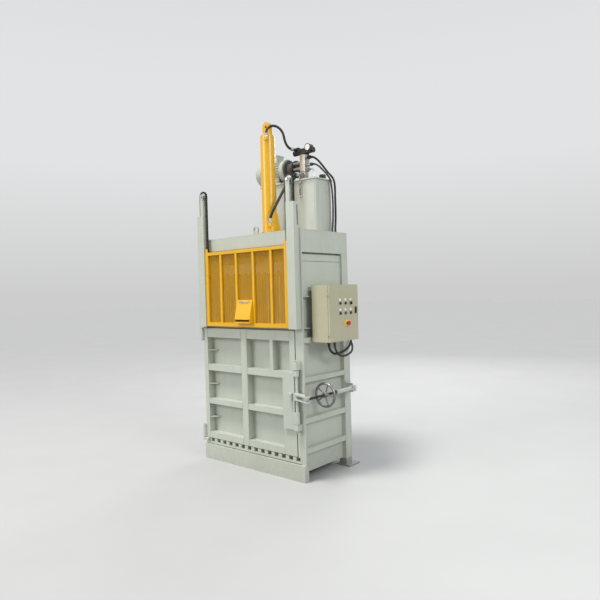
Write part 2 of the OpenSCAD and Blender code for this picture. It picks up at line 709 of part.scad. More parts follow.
port_up = [52, -70];
port_lo = [52, -47];
foot_r = barrel_d / 2 + 45;
module cylinder_barrel() {
    eye_z = barrel_top + 82;
    color(yellow) {
        difference() {
            union() {
                bar_z(0, cyl_y, body_top, barrel_top - 10, barrel_d / 2, $fn = 48);
                bar_z(0, cyl_y, barrel_top - 30, barrel_top, barrel_d / 2 - 6, $fn = 48);
                bar_z(0, cyl_y, body_top, body_top + 24, foot_r, $fn = 48);
                // Stiffeners on the foot flange
                for (a = [45, 135]) translate([0, cyl_y, body_top]) rotate([90, 0, a])
                    translate([barrel_d / 2 - 10, 0, -5]) linear_extrude(10) polygon([[0, 0], [50, 0], [50, 30], [16, 230], [0, 230]]);
                slab([port_up[0] - 17, port_up[0] + 17], [cyl_y + port_up[1] - 17, cyl_y + port_up[1] + 17], [barrel_top - 63, barrel_top - 33]);
            }
            bar_z(0, cyl_y, body_top + 70, barrel_top - 40, bore_d / 2, $fn = 48);
            bar_z(0, cyl_y, body_top - 1, body_top + 71, rod_d / 2 + 0.3, $fn = 48);
        }
        difference() {
            face_plate(cyl_y - 18, cyl_y + 18) {
                translate([0, eye_z]) circle(r = 46, $fn = 48);
                translate([-46, barrel_top - 12]) square([92, eye_z - barrel_top + 12]);
            }
            bar_y(0, eye_z, cyl_y - 20, cyl_y + 20, 14);
        }
        // Lower port with its elbow
        translate([0, cyl_y, body_top + 107]) rotate([0, 90, atan2(port_lo[1], port_lo[0])])
            translate([0, 0, barrel_d / 2 - 4]) cylinder(r = 17, h = 30);
        slab([port_lo[0] + 10, port_lo[0] + 42], [cyl_y + port_lo[1] - 38, cyl_y + port_lo[1] - 6], [body_top + 89, body_top + 127]);
    }
}

// Power pack
module oil_tank() {
    r = 24;
    color(grey) difference() {
        translate([tank_x[0], tank_y[0], tank_z[0]]) linear_extrude(tank_z[1] - tank_z[0]) rounded(tank_x[1] - tank_x[0], tank_y[1] - tank_y[0], r);
        translate([tank_x[0] + 5, tank_y[0] + 5, tank_z[0] + 6]) linear_extrude(tank_z[1]) rounded(tank_x[1] - tank_x[0] - 10, tank_y[1] - tank_y[0] - 10, r - 5);
    }
}
// Rectangle with round corners, one corner at the origin
module rounded(w, d, r) {
    translate([r, 0]) square([w - 2 * r, d]);
    translate([0, r]) square([w, d - 2 * r]);
    for (x = [r, w - r]) for (y = [r, d - r]) translate([x, y]) circle(r = r);
}

module tank_lid() {
    rim = 14;
    color(grey) {
        translate([tank_x[0] - rim, tank_y[0] - rim, tank_z[1]]) linear_extrude(lid_t)
            rounded(tank_x[1] - tank_x[0] + 2 * rim, tank_y[1] - tank_y[0] + 2 * rim, 30);
        // Motor feet rails
        for (y = [motor_y - 116, motor_y + 66]) slab([motor_x[0] + 60, motor_x[1] - 40], [y, y + 50], [lid_z - 1, lid_z + 16]);
    }
}

module tank_fittings() {
    gauge_x = 225;
    cap = [tank_x[1] - 70, tank_y[1] - 50];
    color(steel) {
        bar_z(cap[0], cap[1], lid_z, lid_z + 26, 27);
        bar_z(cap[0], cap[1], lid_z + 26, lid_z + 60, 34);
        // Oil level gauge on the tank front
        slab([gauge_x - 16, gauge_x + 16], [tank_y[0] - 14, tank_y[0]], [tank_z[1] - 160, tank_z[1] - 10]);
        for (z = [tank_z[1] - 144, tank_z[1] - 26]) hex_y(gauge_x, z, tank_y[0] - 22, tank_y[0] - 13, 17);
        // Return line elbow and drain plug
        bar_z(cap[0] - 80, cap[1] - 5, lid_z, lid_z + 45, 16);
        bar_y(tank_x[1] - 90, tank_z[0] + 53, tank_y[0] - 16, tank_y[0], 17);
    }
}

module motor_body() {
    r = motor_d / 2;
    color(grey) difference() {
        bar_x(motor_y, motor_z, motor_x[0], motor_x[1], r - 12, $fn = 48);
        // Bearing of the fan shaft
        bar_x(motor_y, motor_z, motor_x[0] - 1, motor_x[0] + 20, 12.3);
    }
    color(grey) {
        // Cooling fins
        for (a = [0:15:345]) translate([motor_x[0] + 20, motor_y, motor_z]) rotate([a, 0, 0])
            translate([0, -2, r - 14]) cube([motor_x[1] - motor_x[0] - 70, 4, 14]);
        bar_x(motor_y, motor_z, motor_x[1] - 46, motor_x[1], r, $fn = 48);
        difference() {
            bar_x(motor_y, motor_z, motor_x[0], motor_x[0] + 14, r, $fn = 48);
            bar_x(motor_y, motor_z, motor_x[0] - 1, motor_x[0] + 15, r - 14, $fn = 48);
        }
        // Feet
        for (y = [motor_y - 114, motor_y + 68]) slab([motor_x[0] + 70, motor_x[1] - 60], [y, y + 46], [lid_z + 16, lid_z + 28]);
        for (y = [[motor_y - 88, motor_y - 76], [motor_y + 76, motor_y + 88]])
            slab([motor_x[0] + 80, motor_x[1] - 70], y, [lid_z + 26, motor_z - 50]);
        // Terminal box
        slab([motor_x[0] + 70, motor_x[0] + 190], [motor_y - 50, motor_y + 50], [motor_z + r - 20, motor_z + r + 50]);
        slab([motor_x[0] + 66, motor_x[0] + 194], [motor_y - 54, motor_y + 54], [motor_z + r + 50, motor_z + r + 60]);
    }
}

module fan_cowl() {
    r = motor_d / 2;
    color(grey) difference() {
        union() {
            bar_x(motor_y, motor_z, cowl_x[0] + 12, cowl_x[1], r + 3, $fn = 48);
            bar_x(motor_y, motor_z, cowl_x[0], cowl_x[0] + 13, r - 7, $fn = 48);
        }
        bar_x(motor_y, motor_z, cowl_x[0] + 3, cowl_x[1] + 1, r - 11, $fn = 48);
        bar_x(motor_y, motor_z, cowl_x[0] + 13, cowl_x[1] + 1, r, $fn = 48);
        // Air grille
        for (k = [-4:4]) translate([cowl_x[0] - 1, motor_y, motor_z + k * 18]) {
            half = sqrt(pow(r - 25, 2) - pow(k * 18, 2));
            translate([0, -half, -4]) cube([8, 2 * half, 8]);
        }
    }
}

module motor_fan() {
    x = [cowl_x[0] + 18, cowl_x[0] + 52];
    r = motor_d / 2 - 31;
    color(black) difference() {
        union() {
            bar_x(motor_y, motor_z, x[0], x[1], 26);
            bar_x(motor_y, motor_z, x[1] - 6, x[1], r);
            for (a = [0:45:315]) translate([x[0], motor_y, motor_z]) rotate([a, 0, 0]) translate([0, -2, 20]) cube([30, 4, r - 20]);
        }
        bar_x(motor_y, motor_z, x[0] - 1, x[1] + 1, 12.3);
    }
    color(steel) bar_x(motor_y, motor_z, x[0] - 2, motor_x[0] + 18, 12);
}

module pump_housing() {
    x0 = motor_x[1];
    color(grey_dark) {
        bar_x(motor_y, motor_z, x0, x0 + 16, 100);
        bar_x(motor_y, motor_z, x0 + 15, x0 + 95, 70);
        bar_x(motor_y, motor_z, x0 + 94, x0 + 108, 86);
    }
    color(black) {
        bar_x(motor_y, motor_z, x0 + 107, x0 + 190, 46);
        slab([x0 + 120, x0 + 176], [motor_y - 50, motor_y + 50], [motor_z - 26, motor_z + 26]);
    }
}

module valve_manifold() {
    color(steel) {
        // Stand on the lid and the ported block
        slab([valve_x - 34, valve_x + 34], [valve_y - 40, valve_y + 40], [lid_z, lid_z + 14]);
        slab([valve_x - 24, valve_x + 24], [valve_y - 26, valve_y + 26], [lid_z + 13, block_z[0] + 10]);
        slab([valve_x - 32, valve_x + 32], [valve_y - 36, valve_y + 36], block_z);
    }
    color(black) {
        for (z = [block_z[0] + 35, block_z[0] + 90]) {
            bar_x(valve_y - 24, z, valve_x - 78, valve_x - 31, 14);
            bar_x(valve_y - 24, z, valve_x - 120, valve_x - 77, 10);
        }
        bar_x(valve_y + 5, block_z[0] + 60, valve_x + 31, valve_x + 74, 13);
        hex_y(valve_x - 6, lid_z + 50, valve_y - 66, valve_y - 25, 40);
        bar_y(valve_x - 6, lid_z + 50, valve_y - 92, valve_y - 60, 14);
    }
}

module solenoid_valve() {
    z0 = block_z[1];
    z = z0 + 35;
    color(black) {
        slab([valve_x - 34, valve_x + 34], [valve_y - 34, valve_y + 34], [z0, z0 + 60]);
        bar_x(valve_y, z, valve_x - 128, valve_x - 33, 27);
        bar_x(valve_y, z, valve_x + 33, valve_x + 118, 27);
        for (x = [[-110, -62], [50, 98]]) slab([valve_x + x[0], valve_x + x[1]], [valve_y - 14, valve_y + 14], [z + 20, z + 50]);
        bar_y(valve_x - 90, z0 + 62, valve_y - 70, valve_y - 10, 14);
    }
    // Pressure gauge, facing the front
    color(black) bar_z(valve_x + 100, valve_y - 50, z0 + 5, z0 + 50, 7);
    color(steel) bar_y(valve_x + 100, z0 + 50, valve_y - 74, valve_y - 42, 34);
    color(black) slab([valve_x + 20, valve_x + 106], [valve_y - 56, valve_y - 44], [z0 + 5, z0 + 17]);
    color(black) slab([valve_x + 20, valve_x + 32], [valve_y - 56, valve_y - 30], [z0 + 5, z0 + 17]);
}

// Hoses and conduits along their own routes
top_route = [[52, -90, 3092.3], [52, -90, 3106], [52, -90, 3120], [55, -78, 3164], [64, -46, 3196], [78, -2, 3208],
    [93, 42, 3196], [106, 74, 3164], [115, 87, 3125], [120, 94, 3083], [124, 113, 3043], [125, 143, 3020], [125, 180, 3012],
    [125, 190, 3012], [125, 199.7, 3012]];
lower_route = [[209, 177.7, 2752], [209, 171, 2752], [209, 163, 2752], [208, 128, 2745], [206, 98, 2728], [199, 70, 2700],
    [175, 10, 2600], [135, -50, 2470], [96, -86, 2370], [78, -89, 2320], [78, -89, 2302], [78, -89, 2284.3]];
module top_hose() {
    color(black) sweep(top_route, 12, 10, 3);
}
module lower_hose() {
    color(black) sweep(lower_route, 13, 10, 3);
}
// From the valves, down behind the body and up into the cabinet from below
supply_route = [[247.3, 300, 2930], [255, 300, 2930], [264, 300, 2930], [298, 306, 2923], [330, 327, 2896], [357, 360, 2848],
    [390, 402, 2780], [434, 446, 2690], [440, 450, 2500], [446, 440, 2330], [468, 402, 2190], [520, 358, 2080], [588, 348, 1950],
    [600, 348, 1800], [600, 348, 1400], [610, 348, 1275], [656, 344, 1200], [705, 275, 1144], [738, 180, 1104], [747, 85, 1078],
    [748, -12, 1072], [747, -56, 1084], [745, -88, 1116], [744, -100, 1160], [744, -100, 1175], [744, -100, 1189.7]];
signal_route = [[289.3, 275, 2850], [296, 275, 2850], [304, 275, 2850], [334, 282, 2846], [362, 303, 2827], [388, 336, 2788],
    [412, 370, 2742], [432, 396, 2680], [440, 410, 2500], [442, 404, 2330], [458, 370, 2190], [492, 346, 2080], [560, 346, 1950],
    [572, 346, 1800], [572, 346, 1400], [580, 346, 1250], [645, 352, 1160], [705, 300, 1112], [770, 190, 1070], [780, 80, 1046],
    [780, -4, 1062], [778, -46, 1106], [776, -60, 1158], [776, -60, 1174], [776, -60, 1189.7]];
module conduits() {
    color(black) {
        sweep(supply_route, 11, 8, 2);
        sweep(signal_route, 9, 8, 2);
    }
}

// Control cabinet
module cabinet_box() {
    t = 2;
    z1 = cab_z + cab_h;
    color(beige) {
        difference() {
            slab([cab_x, face_x - 19], [cab_y, cab_y + cab_w], [cab_z, z1]);
            slab([cab_x + t, face_x], [cab_y + t, cab_y + cab_w - t], [cab_z + t, z1 - t]);
        }
        // Mounting rails on the wall
        slab([hw, cab_x + 1], [cab_y + 20, cab_y + cab_w - 20], [cab_z + 4, cab_z + 36]);
        slab([hw - 20, cab_x + 1], [cab_y + 20, cab_y + cab_w - 20], [z1 - 46, z1 - 14]);
        // Mounting plate with the switchgear
        slab([cab_x + t + 12, cab_x + t + 14], [cab_y + 30, cab_y + cab_w - 30], [cab_z + 30, z1 - 30]);
        for (z = [cab_z + 30, z1 - 40]) slab([cab_x + t - 1, cab_x + t + 13], [cab_y + 30, cab_y + cab_w - 30], [z, z + 10]);
        for (z = [cab_z + 90, cab_z + 230, cab_z + 350])
            slab([cab_x + t + 13, cab_x + 90], [cab_y + 60, cab_y + cab_w - 80], [z, z + 70]);
        // Hinge knuckles
        for (z = [cab_z + 60, z1 - 90]) {
            bar_z(cab_pin[0], cab_pin[1], z, z + 14, knuckle_r);
            slab([face_x - 26, cab_pin[0]], [cab_pin[1] - knuckle_r, cab_y + 0.5], [z, z + 14]);
        }
    }
}

module cabinet_door() {
    z0 = cab_z + 1;
    z1 = cab_z + cab_h - 1;
    y0 = cab_y + 1;
    y1 = cab_y + cab_w - 1;
    color(beige) difference() {
        union() {
            slab([face_x - 17, face_x], [y0, y1], [z0, z1]);
            for (z = [cab_z + 75, cab_z + cab_h - 75]) {
                bar_z(cab_pin[0], cab_pin[1], z, z + 14, knuckle_r);
                slab([face_x - 6, cab_pin[0]], [cab_pin[1], y0 + 1], [z, z + 14]);
            }
        }
        slab([face_x - 18, face_x - 2], [y0 + 2, y1 - 2], [z0 + 2, z1 - 2]);
        for (p = panel_holes) bar_x(p[0], p[1], face_x - 10, face_x + 1, 11.5);
        bar_x(lock_at[0], lock_at[1], face_x - 10, face_x + 1, 9.5);
    }
}

module cabinet_lock() {
    color(black) {
        bar_x(lock_at[0], lock_at[1], face_x - 14, face_x + 1.5, 9.2);
        translate([face_x + 0.5, lock_at[0], lock_at[1]]) rotate([90, 0, 90]) linear_extrude(9) {
            square([20, 34], center = true);
            for (z = [-17, 17]) translate([0, z]) circle(r = 13);
        }
        slab([face_x - 14, face_x - 11], [lock_at[0] - 6, lock_at[0] + 6], [lock_at[1] - 30, lock_at[1] + 6]);
    }
}

module label_tags() {
    color([0.9, 0.9, 0.88]) {
        for (p = panel_holes) if (p != stop_at) slab([face_x, face_x + 1], [p[0] - 13, p[0] + 13], [p[1] + 22, p[1] + 40]);
        // Collar rings round the operators
        for (p = panel_holes) difference() {
            bar_x(p[0], p[1], face_x, face_x + 3, p == stop_at ? 30 : 16);
            bar_x(p[0], p[1], face_x - 1, face_x + 4, 12.5);
        }
    }
}

module push_button(k) {
    p = panel_holes[k];
    color(black) {
        bar_x(p[0], p[1], face_x - 22, face_x + 5, 11);
        bar_x(p[0], p[1], face_x + 4, face_x + 10, 12);
    }
}

module selector_knob() {
    p = panel_holes[2];
    color(black) {
        bar_x(p[0], p[1], face_x - 22, face_x + 4.5, 11);
        bar_x(p[0], p[1], face_x + 3.5, face_x + 9, 14);
        slab([face_x + 8, face_x + 20], [p[0] - 4, p[0] + 4], [p[1] - 13, p[1] + 13]);
    }
}

module emergency_stop() {
    color([0.75, 0.08, 0.06]) {
        bar_x(stop_at[0], stop_at[1], face_x - 24, face_x + 14, 11);
        bar_x(stop_at[0], stop_at[1], face_x + 10, face_x + 20, 15);
        bar_x(stop_at[0], stop_at[1], face_x + 19, face_x + 30, 20);
    }
}

// Bolts on the deck, the cylinder foot and the tank lid
module frame_bolts() {
    color(steel) {
        for (a = [0:90:270]) hex_z((foot_r - 19) * cos(a), cyl_y + (foot_r - 19) * sin(a), body_top + 24, 24, 13);
        for (x = [tank_x[0] + 30, 0, tank_x[1] - 30]) hex_z(x, tank_y[0] + 4, lid_z, 13, 7);
        for (x = [tank_x[0] + 30, 0, tank_x[1] - 30]) hex_z(x, tank_y[1] - 4, lid_z, 13, 7);
        for (x = [motor_x[0] + 84, motor_x[1] - 76]) for (y = [motor_y - 101, motor_y + 101]) hex_z(x, y, lid_z + 28, 17, 9);
    }
}

base_sill();
base_frame();
rear_feet();
chamber_floor();
left_wall();
right_wall();
rear_wall();
lock_post();
top_frame();
top_deck();
left_gate_post();
right_gate_post();
wheel_axles();
left_chain_wheel();
right_chain_wheel();
left_chain();
right_chain();
left_counterweight();
right_counterweight();
gate_frame();
gate_mesh();
gate_handle();
door_frame();
door_skin();
striker_plate();
hinge_brackets();
hinge_pins();
lock_rod();
latch_lever();
screw_swivel();
screw_rod();
handwheel();
screw_bracket();
frame_bolts();
platen();
piston_rod();
cylinder_barrel();
oil_tank();
tank_lid();
tank_fittings();
motor_body();
fan_cowl();
motor_fan();
pump_housing();
valve_manifold();
solenoid_valve();
top_hose();
lower_hose();
conduits();
cabinet_box();
cabinet_door();
cabinet_lock();
label_tags();
selector_knob();
emergency_stop();
push_button(0);  // push_button_1
push_button(1);  // push_button_2
push_button(3);  // push_button_3
push_button(4);  // push_button_4
push_button(5);  // push_button_5
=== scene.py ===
# Upright recycling baler, dressed for the render. Metres: X to the right, Y to the back, Z up.
import json
import math

import bmesh
import bpy
from mathutils import Matrix, Vector

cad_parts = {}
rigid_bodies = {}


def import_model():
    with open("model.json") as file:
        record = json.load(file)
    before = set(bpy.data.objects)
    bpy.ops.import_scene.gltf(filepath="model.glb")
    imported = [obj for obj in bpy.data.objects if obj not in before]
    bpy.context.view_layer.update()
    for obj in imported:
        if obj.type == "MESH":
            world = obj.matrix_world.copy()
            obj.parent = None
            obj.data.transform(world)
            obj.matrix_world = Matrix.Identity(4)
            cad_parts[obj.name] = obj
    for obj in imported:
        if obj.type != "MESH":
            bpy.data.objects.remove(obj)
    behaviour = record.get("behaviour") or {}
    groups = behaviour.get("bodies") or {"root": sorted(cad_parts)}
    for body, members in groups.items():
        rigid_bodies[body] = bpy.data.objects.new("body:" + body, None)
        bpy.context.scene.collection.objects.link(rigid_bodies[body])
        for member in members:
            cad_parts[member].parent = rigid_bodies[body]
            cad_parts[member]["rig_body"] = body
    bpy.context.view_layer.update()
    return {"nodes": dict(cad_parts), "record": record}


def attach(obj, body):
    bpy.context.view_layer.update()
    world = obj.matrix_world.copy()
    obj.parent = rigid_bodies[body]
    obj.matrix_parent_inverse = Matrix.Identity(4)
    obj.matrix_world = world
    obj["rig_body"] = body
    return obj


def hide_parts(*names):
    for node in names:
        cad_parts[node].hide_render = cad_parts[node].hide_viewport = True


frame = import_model()
cadNodes = frame["nodes"]
print("frame loaded:", len(cadNodes), "nodes")


def addObject(name, data):
    made = bpy.data.objects.new(name, data)
    bpy.context.scene.collection.objects.link(made)
    return made


# Camera: standing eye height, in front on the right, looking left
viewpoint = {"place": (3.711, -3.896, 1.62), "turnLeft": 0.7132, "pitch": -0.0142, "roll": -0.0273,
             "lens": 33.4, "sensor": 36, "near": 0.05, "far": 100}


def makeCamera():
    turn, pitch, roll = viewpoint["turnLeft"], viewpoint["pitch"], viewpoint["roll"]
    ahead = Vector((-math.sin(turn) * math.cos(pitch), math.cos(turn) * math.cos(pitch), math.sin(pitch)))
    right = Vector((math.cos(turn), math.sin(turn), 0))
    up = right.cross(ahead)
    across = right * math.cos(roll) + up * math.sin(roll)
    upright = up * math.cos(roll) - right * math.sin(roll)
    data = bpy.data.cameras.new("photoCamera")
    data.lens, data.sensor_width = viewpoint["lens"], viewpoint["sensor"]
    data.clip_start, data.clip_end = viewpoint["near"], viewpoint["far"]
    camera = addObject("photoCamera", data)
    turned = Matrix((across, upright, -ahead)).transposed().to_4x4()
    camera.matrix_world = Matrix.Translation(viewpoint["place"]) @ turned
    bpy.context.scene.camera = camera


makeCamera()
print("camera placed")


# Node helpers
def colourFrom(r, g, b):  # a colour as read on screen
    return tuple(((c / 255 + 0.055) / 1.055) ** 2.4 if c > 10 else c / 255 / 12.92 for c in (r, g, b)) + (1,)


def isSocket(value):
    return isinstance(value, bpy.types.NodeSocket)


def feed(node, values):  # links what is a socket and sets the rest
    for key, value in values.items():
        if isSocket(value):
            node.id_data.links.new(value, node.inputs[key])
        else:
            node.inputs[key].default_value = value


def nodeIn(tree, kind, values=None, **settings):
    node = tree.nodes.new(kind)
    for key, value in settings.items():
        setattr(node, key, value)
    feed(node, values or {})
    return node


def addNode(kind, values, **settings):  # joins the tree of the first socket that is linked to it
    return nodeIn(next(v for v in values.values() if isSocket(v)).id_data, kind, values, **settings)


def newGroup(name, kind, inputs, outputs):  # a socket's kind follows from its value, and None is geometry
    kinds = {float: "NodeSocketFloat", int: "NodeSocketInt", tuple: "NodeSocketVector",
             type(None): "NodeSocketGeometry"}
    tree = bpy.data.node_groups.new(name, kind)
    for label, value in inputs.items():
        made = tree.interface.new_socket(label, in_out="INPUT", socket_type=kinds[type(value)])
        if value is not None:
            made.default_value = value
    for label, value in outputs.items():
        tree.interface.new_socket(label, in_out="OUTPUT", socket_type=kinds[type(value)])
    return tree, tree.nodes.new("NodeGroupInput").outputs, tree.nodes.new("NodeGroupOutput")


def mathNode(operation, a, b, clamp=False):
    return addNode("ShaderNodeMath", {0: a, 1: b}, operation=operation, use_clamp=clamp).outputs[0]


def times(a, b, clamp=False):
    return mathNode("MULTIPLY", a, b, clamp)


def plus(a, b, clamp=False):
    return mathNode("ADD", a, b, clamp)


def vectorOf(**axes):
    return addNode("ShaderNodeCombineXYZ", axes).outputs[0]


def spread(value, low, high, toLow=0.0, toHigh=1.0):
    return addNode("ShaderNodeMapRange", {"Value": value, "From Min": low, "From Max": high,
                                          "To Min": toLow, "To Max": toHigh}).outputs[0]


def noiseAt(tree, scale, detail=3.0, stretch=None, roughness=0.5):
    place = nodeIn(tree, "ShaderNodeTexCoord").outputs["Object"]
    if stretch:
        place = addNode("ShaderNodeMapping", {"Vector": place, "Scale": stretch}).outputs[0]
    return addNode("ShaderNodeTexNoise", {"Vector": place, "Scale": scale, "Detail": detail,
                                          "Roughness": roughness}).outputs["Fac"]


def mixColour(factor, *colours):  # two sockets, or colours as read on screen
    a, b = (colourFrom(*c) if isinstance(c, tuple) else c for c in colours)
    return addNode("ShaderNodeMix", {0: factor, 6: a, 7: b}, data_type="RGBA").outputs[2]


def bumpFrom(height, normal, look):
    return addNode("ShaderNodeBump", {"Height": height, "Normal": normal, "Strength": look["bump"],
                                      "Distance": look["relief"]}).outputs[0]


# Shader groups
edgeLook = {"gain": 7.0, "patchScale": 3.0, "chipFrom": 0.24, "chipTo": 0.34}
grimeLook = {"runStretch": (26, 26, 1.6), "runShare": 0.5, "blotchScale": 2.6, "blotchShare": 0.6,
             "speckScale": 34.0, "speckShare": 0.7, "dustHeight": 0.22}
reliefLook = {"waveScale": 4.5, "peelScale": 420.0}
grainLook = {"stretch": (1, 1, 14), "smudgeScale": 18.0}


def buildEdgeWear():  # rubbed and chipped edges, as a mask, and the rounded normal of every edge
    tree, given, end = newGroup("edgeWear", "ShaderNodeTree", {"Radius": 0.003, "Amount": 0.5, "Chip Scale": 60.0},
                                {"Mask": 0.0, "Normal": (0, 0, 0)})
    rounded = addNode("ShaderNodeBevel", {"Radius": given["Radius"]}, samples=4).outputs[0]
    flat = nodeIn(tree, "ShaderNodeNewGeometry").outputs["Normal"]
    along = addNode("ShaderNodeVectorMath", {0: rounded, 1: flat}, operation="DOT_PRODUCT").outputs["Value"]
    edge = times(mathNode("SUBTRACT", 1.0, along), edgeLook["gain"], True)
    chips = times(noiseAt(tree, given["Chip Scale"], 4.0), noiseAt(tree, edgeLook["patchScale"], 2.0))
    worn = times(edge, spread(chips, edgeLook["chipFrom"], edgeLook["chipTo"]))
    feed(end, {"Mask": times(worn, given["Amount"], True), "Normal": rounded})
    return tree


def buildGrime():  # runs down the sheets, blotches, and dust near the floor
    tree, given, end = newGroup("grime", "ShaderNodeTree", {"Amount": 0.4, "Floor Dust": 0.5}, {"Mask": 0.0})
    runs = spread(noiseAt(tree, 1.0, 4.0, grimeLook["runStretch"]), 0.52, 0.78)
    blotch = spread(noiseAt(tree, grimeLook["blotchScale"], 5.0, None, 0.6), 0.48, 0.75)
    specks = times(spread(noiseAt(tree, grimeLook["speckScale"]), 0.35, 0.8), grimeLook["speckShare"])
    place = nodeIn(tree, "ShaderNodeTexCoord").outputs["Object"]
    height = addNode("ShaderNodeSeparateXYZ", {"Vector": place}).outputs["Z"]
    low = times(spread(height, grimeLook["dustHeight"], 0.0), plus(specks, 1 - grimeLook["speckShare"]))
    both = plus(times(runs, grimeLook["runShare"]), times(blotch, grimeLook["blotchShare"]))
    dusty = plus(times(both, given["Amount"]), times(low, given["Floor Dust"]), True)
    feed(end, {"Mask": dusty})
    return tree


def buildSheetRelief():  # gentle waviness of welded sheet and the orange peel of sprayed paint, as a height
    tree, given, end = newGroup("sheetRelief", "ShaderNodeTree", {"Waves": 1.0, "Peel": 0.05}, {"Height": 0.0})
    waves = times(noiseAt(tree, reliefLook["waveScale"], 1.5), given["Waves"])
    peel = times(noiseAt(tree, reliefLook["peelScale"], 2.0), given["Peel"])
    feed(end, {"Height": plus(waves, peel)})
    return tree


def buildMetalGrain():  # fine turning and rolling marks
    tree, given, end = newGroup("metalGrain", "ShaderNodeTree", {"Scale": 300.0, "Smudge": 0.4},
                                {"Grain": 0.0, "Smudge": 0.0})
    smudge = spread(noiseAt(tree, grainLook["smudgeScale"], 5.0), 0.4, 0.7)
    feed(end, {"Grain": noiseAt(tree, given["Scale"], 2.0, grainLook["stretch"]),
               "Smudge": times(smudge, given["Smudge"])})
    return tree


groups = {tree.name: tree for tree in (buildEdgeWear(), buildGrime(), buildSheetRelief(), buildMetalGrain())}


def useGroup(tree, name, values):
    return nodeIn(tree, "ShaderNodeGroup", values, node_tree=groups[name]).outputs


def newMaterial(name):
    material = bpy.data.materials.new(name)
    material.use_nodes = True
    return material, material.node_tree, material.node_tree.nodes["Principled BSDF"]


# Paints: a colour and its darker shade as read on screen, then wear, dirt, roughness and relief
plainPaint = {"soil": (120, 112, 98), "under": (92, 88, 84), "edge": 0.003, "chips": 70.0, "dust": 0.6,
              "waves": 1.0, "peel": 0.04, "coat": 0.15, "coatRough": 0.25, "toneScale": 1.7, "glossScale": 9.0,
              "smoother": 0.06, "rougher": 0.1, "dull": 0.3, "bump": 0.6, "relief": 0.004}
paints = {
    "bodyPaint": {"colour": (187, 192, 180), "shade": (180, 185, 172), "wear": 0.5, "dirt": 0.16, "dust": 0.3,
                  "rough": 0.36},
    "basePaint": {"colour": (158, 163, 152), "shade": (149, 153, 143), "wear": 0.7, "dirt": 0.4, "rough": 0.5},
    "gatePaint": {"colour": (226, 173, 10), "shade": (219, 165, 8), "wear": 0.35, "dirt": 0.12, "rough": 0.3,
                  "coat": 0.18, "waves": 0.3, "edge": 0.002, "under": (120, 84, 40)},
    # the expanded mesh's yellow is painted lighter than the gate's own, painted light that makes up for the shade
    # between its strands
    "meshPaintLightened": {"colour": (240, 179, 4), "shade": (232, 169, 2), "wear": 0.0, "dirt": 0.2, "rough": 0.42,
                  "waves": 0.0, "edge": 0.0004},
    "tankPaint": {"colour": (185, 189, 177), "shade": (176, 180, 168), "wear": 0.35, "dirt": 0.3, "rough": 0.38,
                  "waves": 0.6},
    "cabinetPaint": {"colour": (180, 176, 150), "shade": (173, 169, 142), "wear": 0.2, "dirt": 0.12, "rough": 0.5,
                     "waves": 0.15, "peel": 0.16, "coat": 0.0, "edge": 0.002},
}
plainMetal = {"edge": 0.0015, "chips": 120.0, "wear": 0.6, "grain": 260.0, "metallic": 1.0, "lessMetal": 0.4,
              "smoother": 0.06, "rougher": 0.08, "dull": 0.35, "bump": 0.15, "relief": 0.0006}
metals = {
    "platedSteel": {"colour": (190, 192, 194), "soiled": (120, 114, 106), "smudge": 0.45, "rough": 0.32},
    "hardChrome": {"colour": (226, 228, 230), "soiled": (150, 140, 118), "smudge": 0.12, "rough": 0.1, "bump": 0.04},
    "oiledSteel": {"colour": (70, 66, 62), "soiled": (38, 34, 30), "smudge": 0.7, "rough": 0.36,
                   "bright": (150, 146, 140)},
    "darkWheel": {"colour": (140, 142, 140), "soiled": (74, 73, 70), "smudge": 0.5, "rough": 0.34,
                  "bright": (190, 190, 188)},
    "castIron": {"colour": (96, 96, 96), "soiled": (58, 54, 50), "smudge": 0.6, "rough": 0.55, "grain": 90.0,
                 "bump": 0.4, "metallic": 0.8},
    "groundBlock": {"colour": (186, 186, 182), "soiled": (130, 120, 100), "smudge": 0.3, "rough": 0.3},
}
plainPlastic = {"edge": 0.001, "chips": 160.0, "wear": 0.25, "grain": 700.0, "dustColour": (138, 132, 122),
                "dustScale": 22.0, "dull": 0.6, "bump": 0.12, "relief": 0.0005}
plastics = {
    "hoseRubber": {"colour": (20, 20, 21), "rough": 0.46, "dust": 0.1},
    "blackPlastic": {"colour": (34, 34, 36), "rough": 0.34, "dust": 0.12},
    "redPlastic": {"colour": (196, 26, 18), "rough": 0.22, "dust": 0.06},
    "yellowPlastic": {"colour": (246, 206, 60), "rough": 0.4, "dust": 0.1},
    "tagPlastic": {"colour": (232, 232, 226), "rough": 0.4, "dust": 0.08},
    "greenPlastic": {"colour": (26, 92, 50), "rough": 0.25, "dust": 0.05},
}


def wearOf(tree, look):
    return useGroup(tree, "edgeWear", {"Radius": look["edge"], "Amount": look["wear"], "Chip Scale": look["chips"]})


def glossFrom(mask, high, look):  # the finish's roughness, a little less or more from place to place
    return spread(mask, 0.3, high, look["rough"] - look["smoother"], look["rough"] + look["rougher"])


def paintMaterial(name, paint):
    material, tree, shader = newMaterial(name)
    wear = wearOf(tree, paint)
    dirt = useGroup(tree, "grime", {"Amount": paint["dirt"], "Floor Dust": paint["dust"]})["Mask"]
    relief = useGroup(tree, "sheetRelief", {"Waves": paint["waves"], "Peel": paint["peel"]})["Height"]
    tone = spread(noiseAt(tree, paint["toneScale"], 4.0), 0.3, 0.7)
    dirty = mixColour(dirt, mixColour(tone, paint["colour"], paint["shade"]), paint["soil"])
    gloss = glossFrom(noiseAt(tree, paint["glossScale"], 4.0), 0.75, paint)
    feed(shader, {"Base Color": mixColour(wear["Mask"], dirty, paint["under"]),
                  "Roughness": plus(gloss, times(dirt, paint["dull"]), True),
                  "Coat Weight": paint["coat"], "Coat Roughness": paint["coatRough"],
                  "Normal": bumpFrom(relief, wear["Normal"], paint)})
    return material


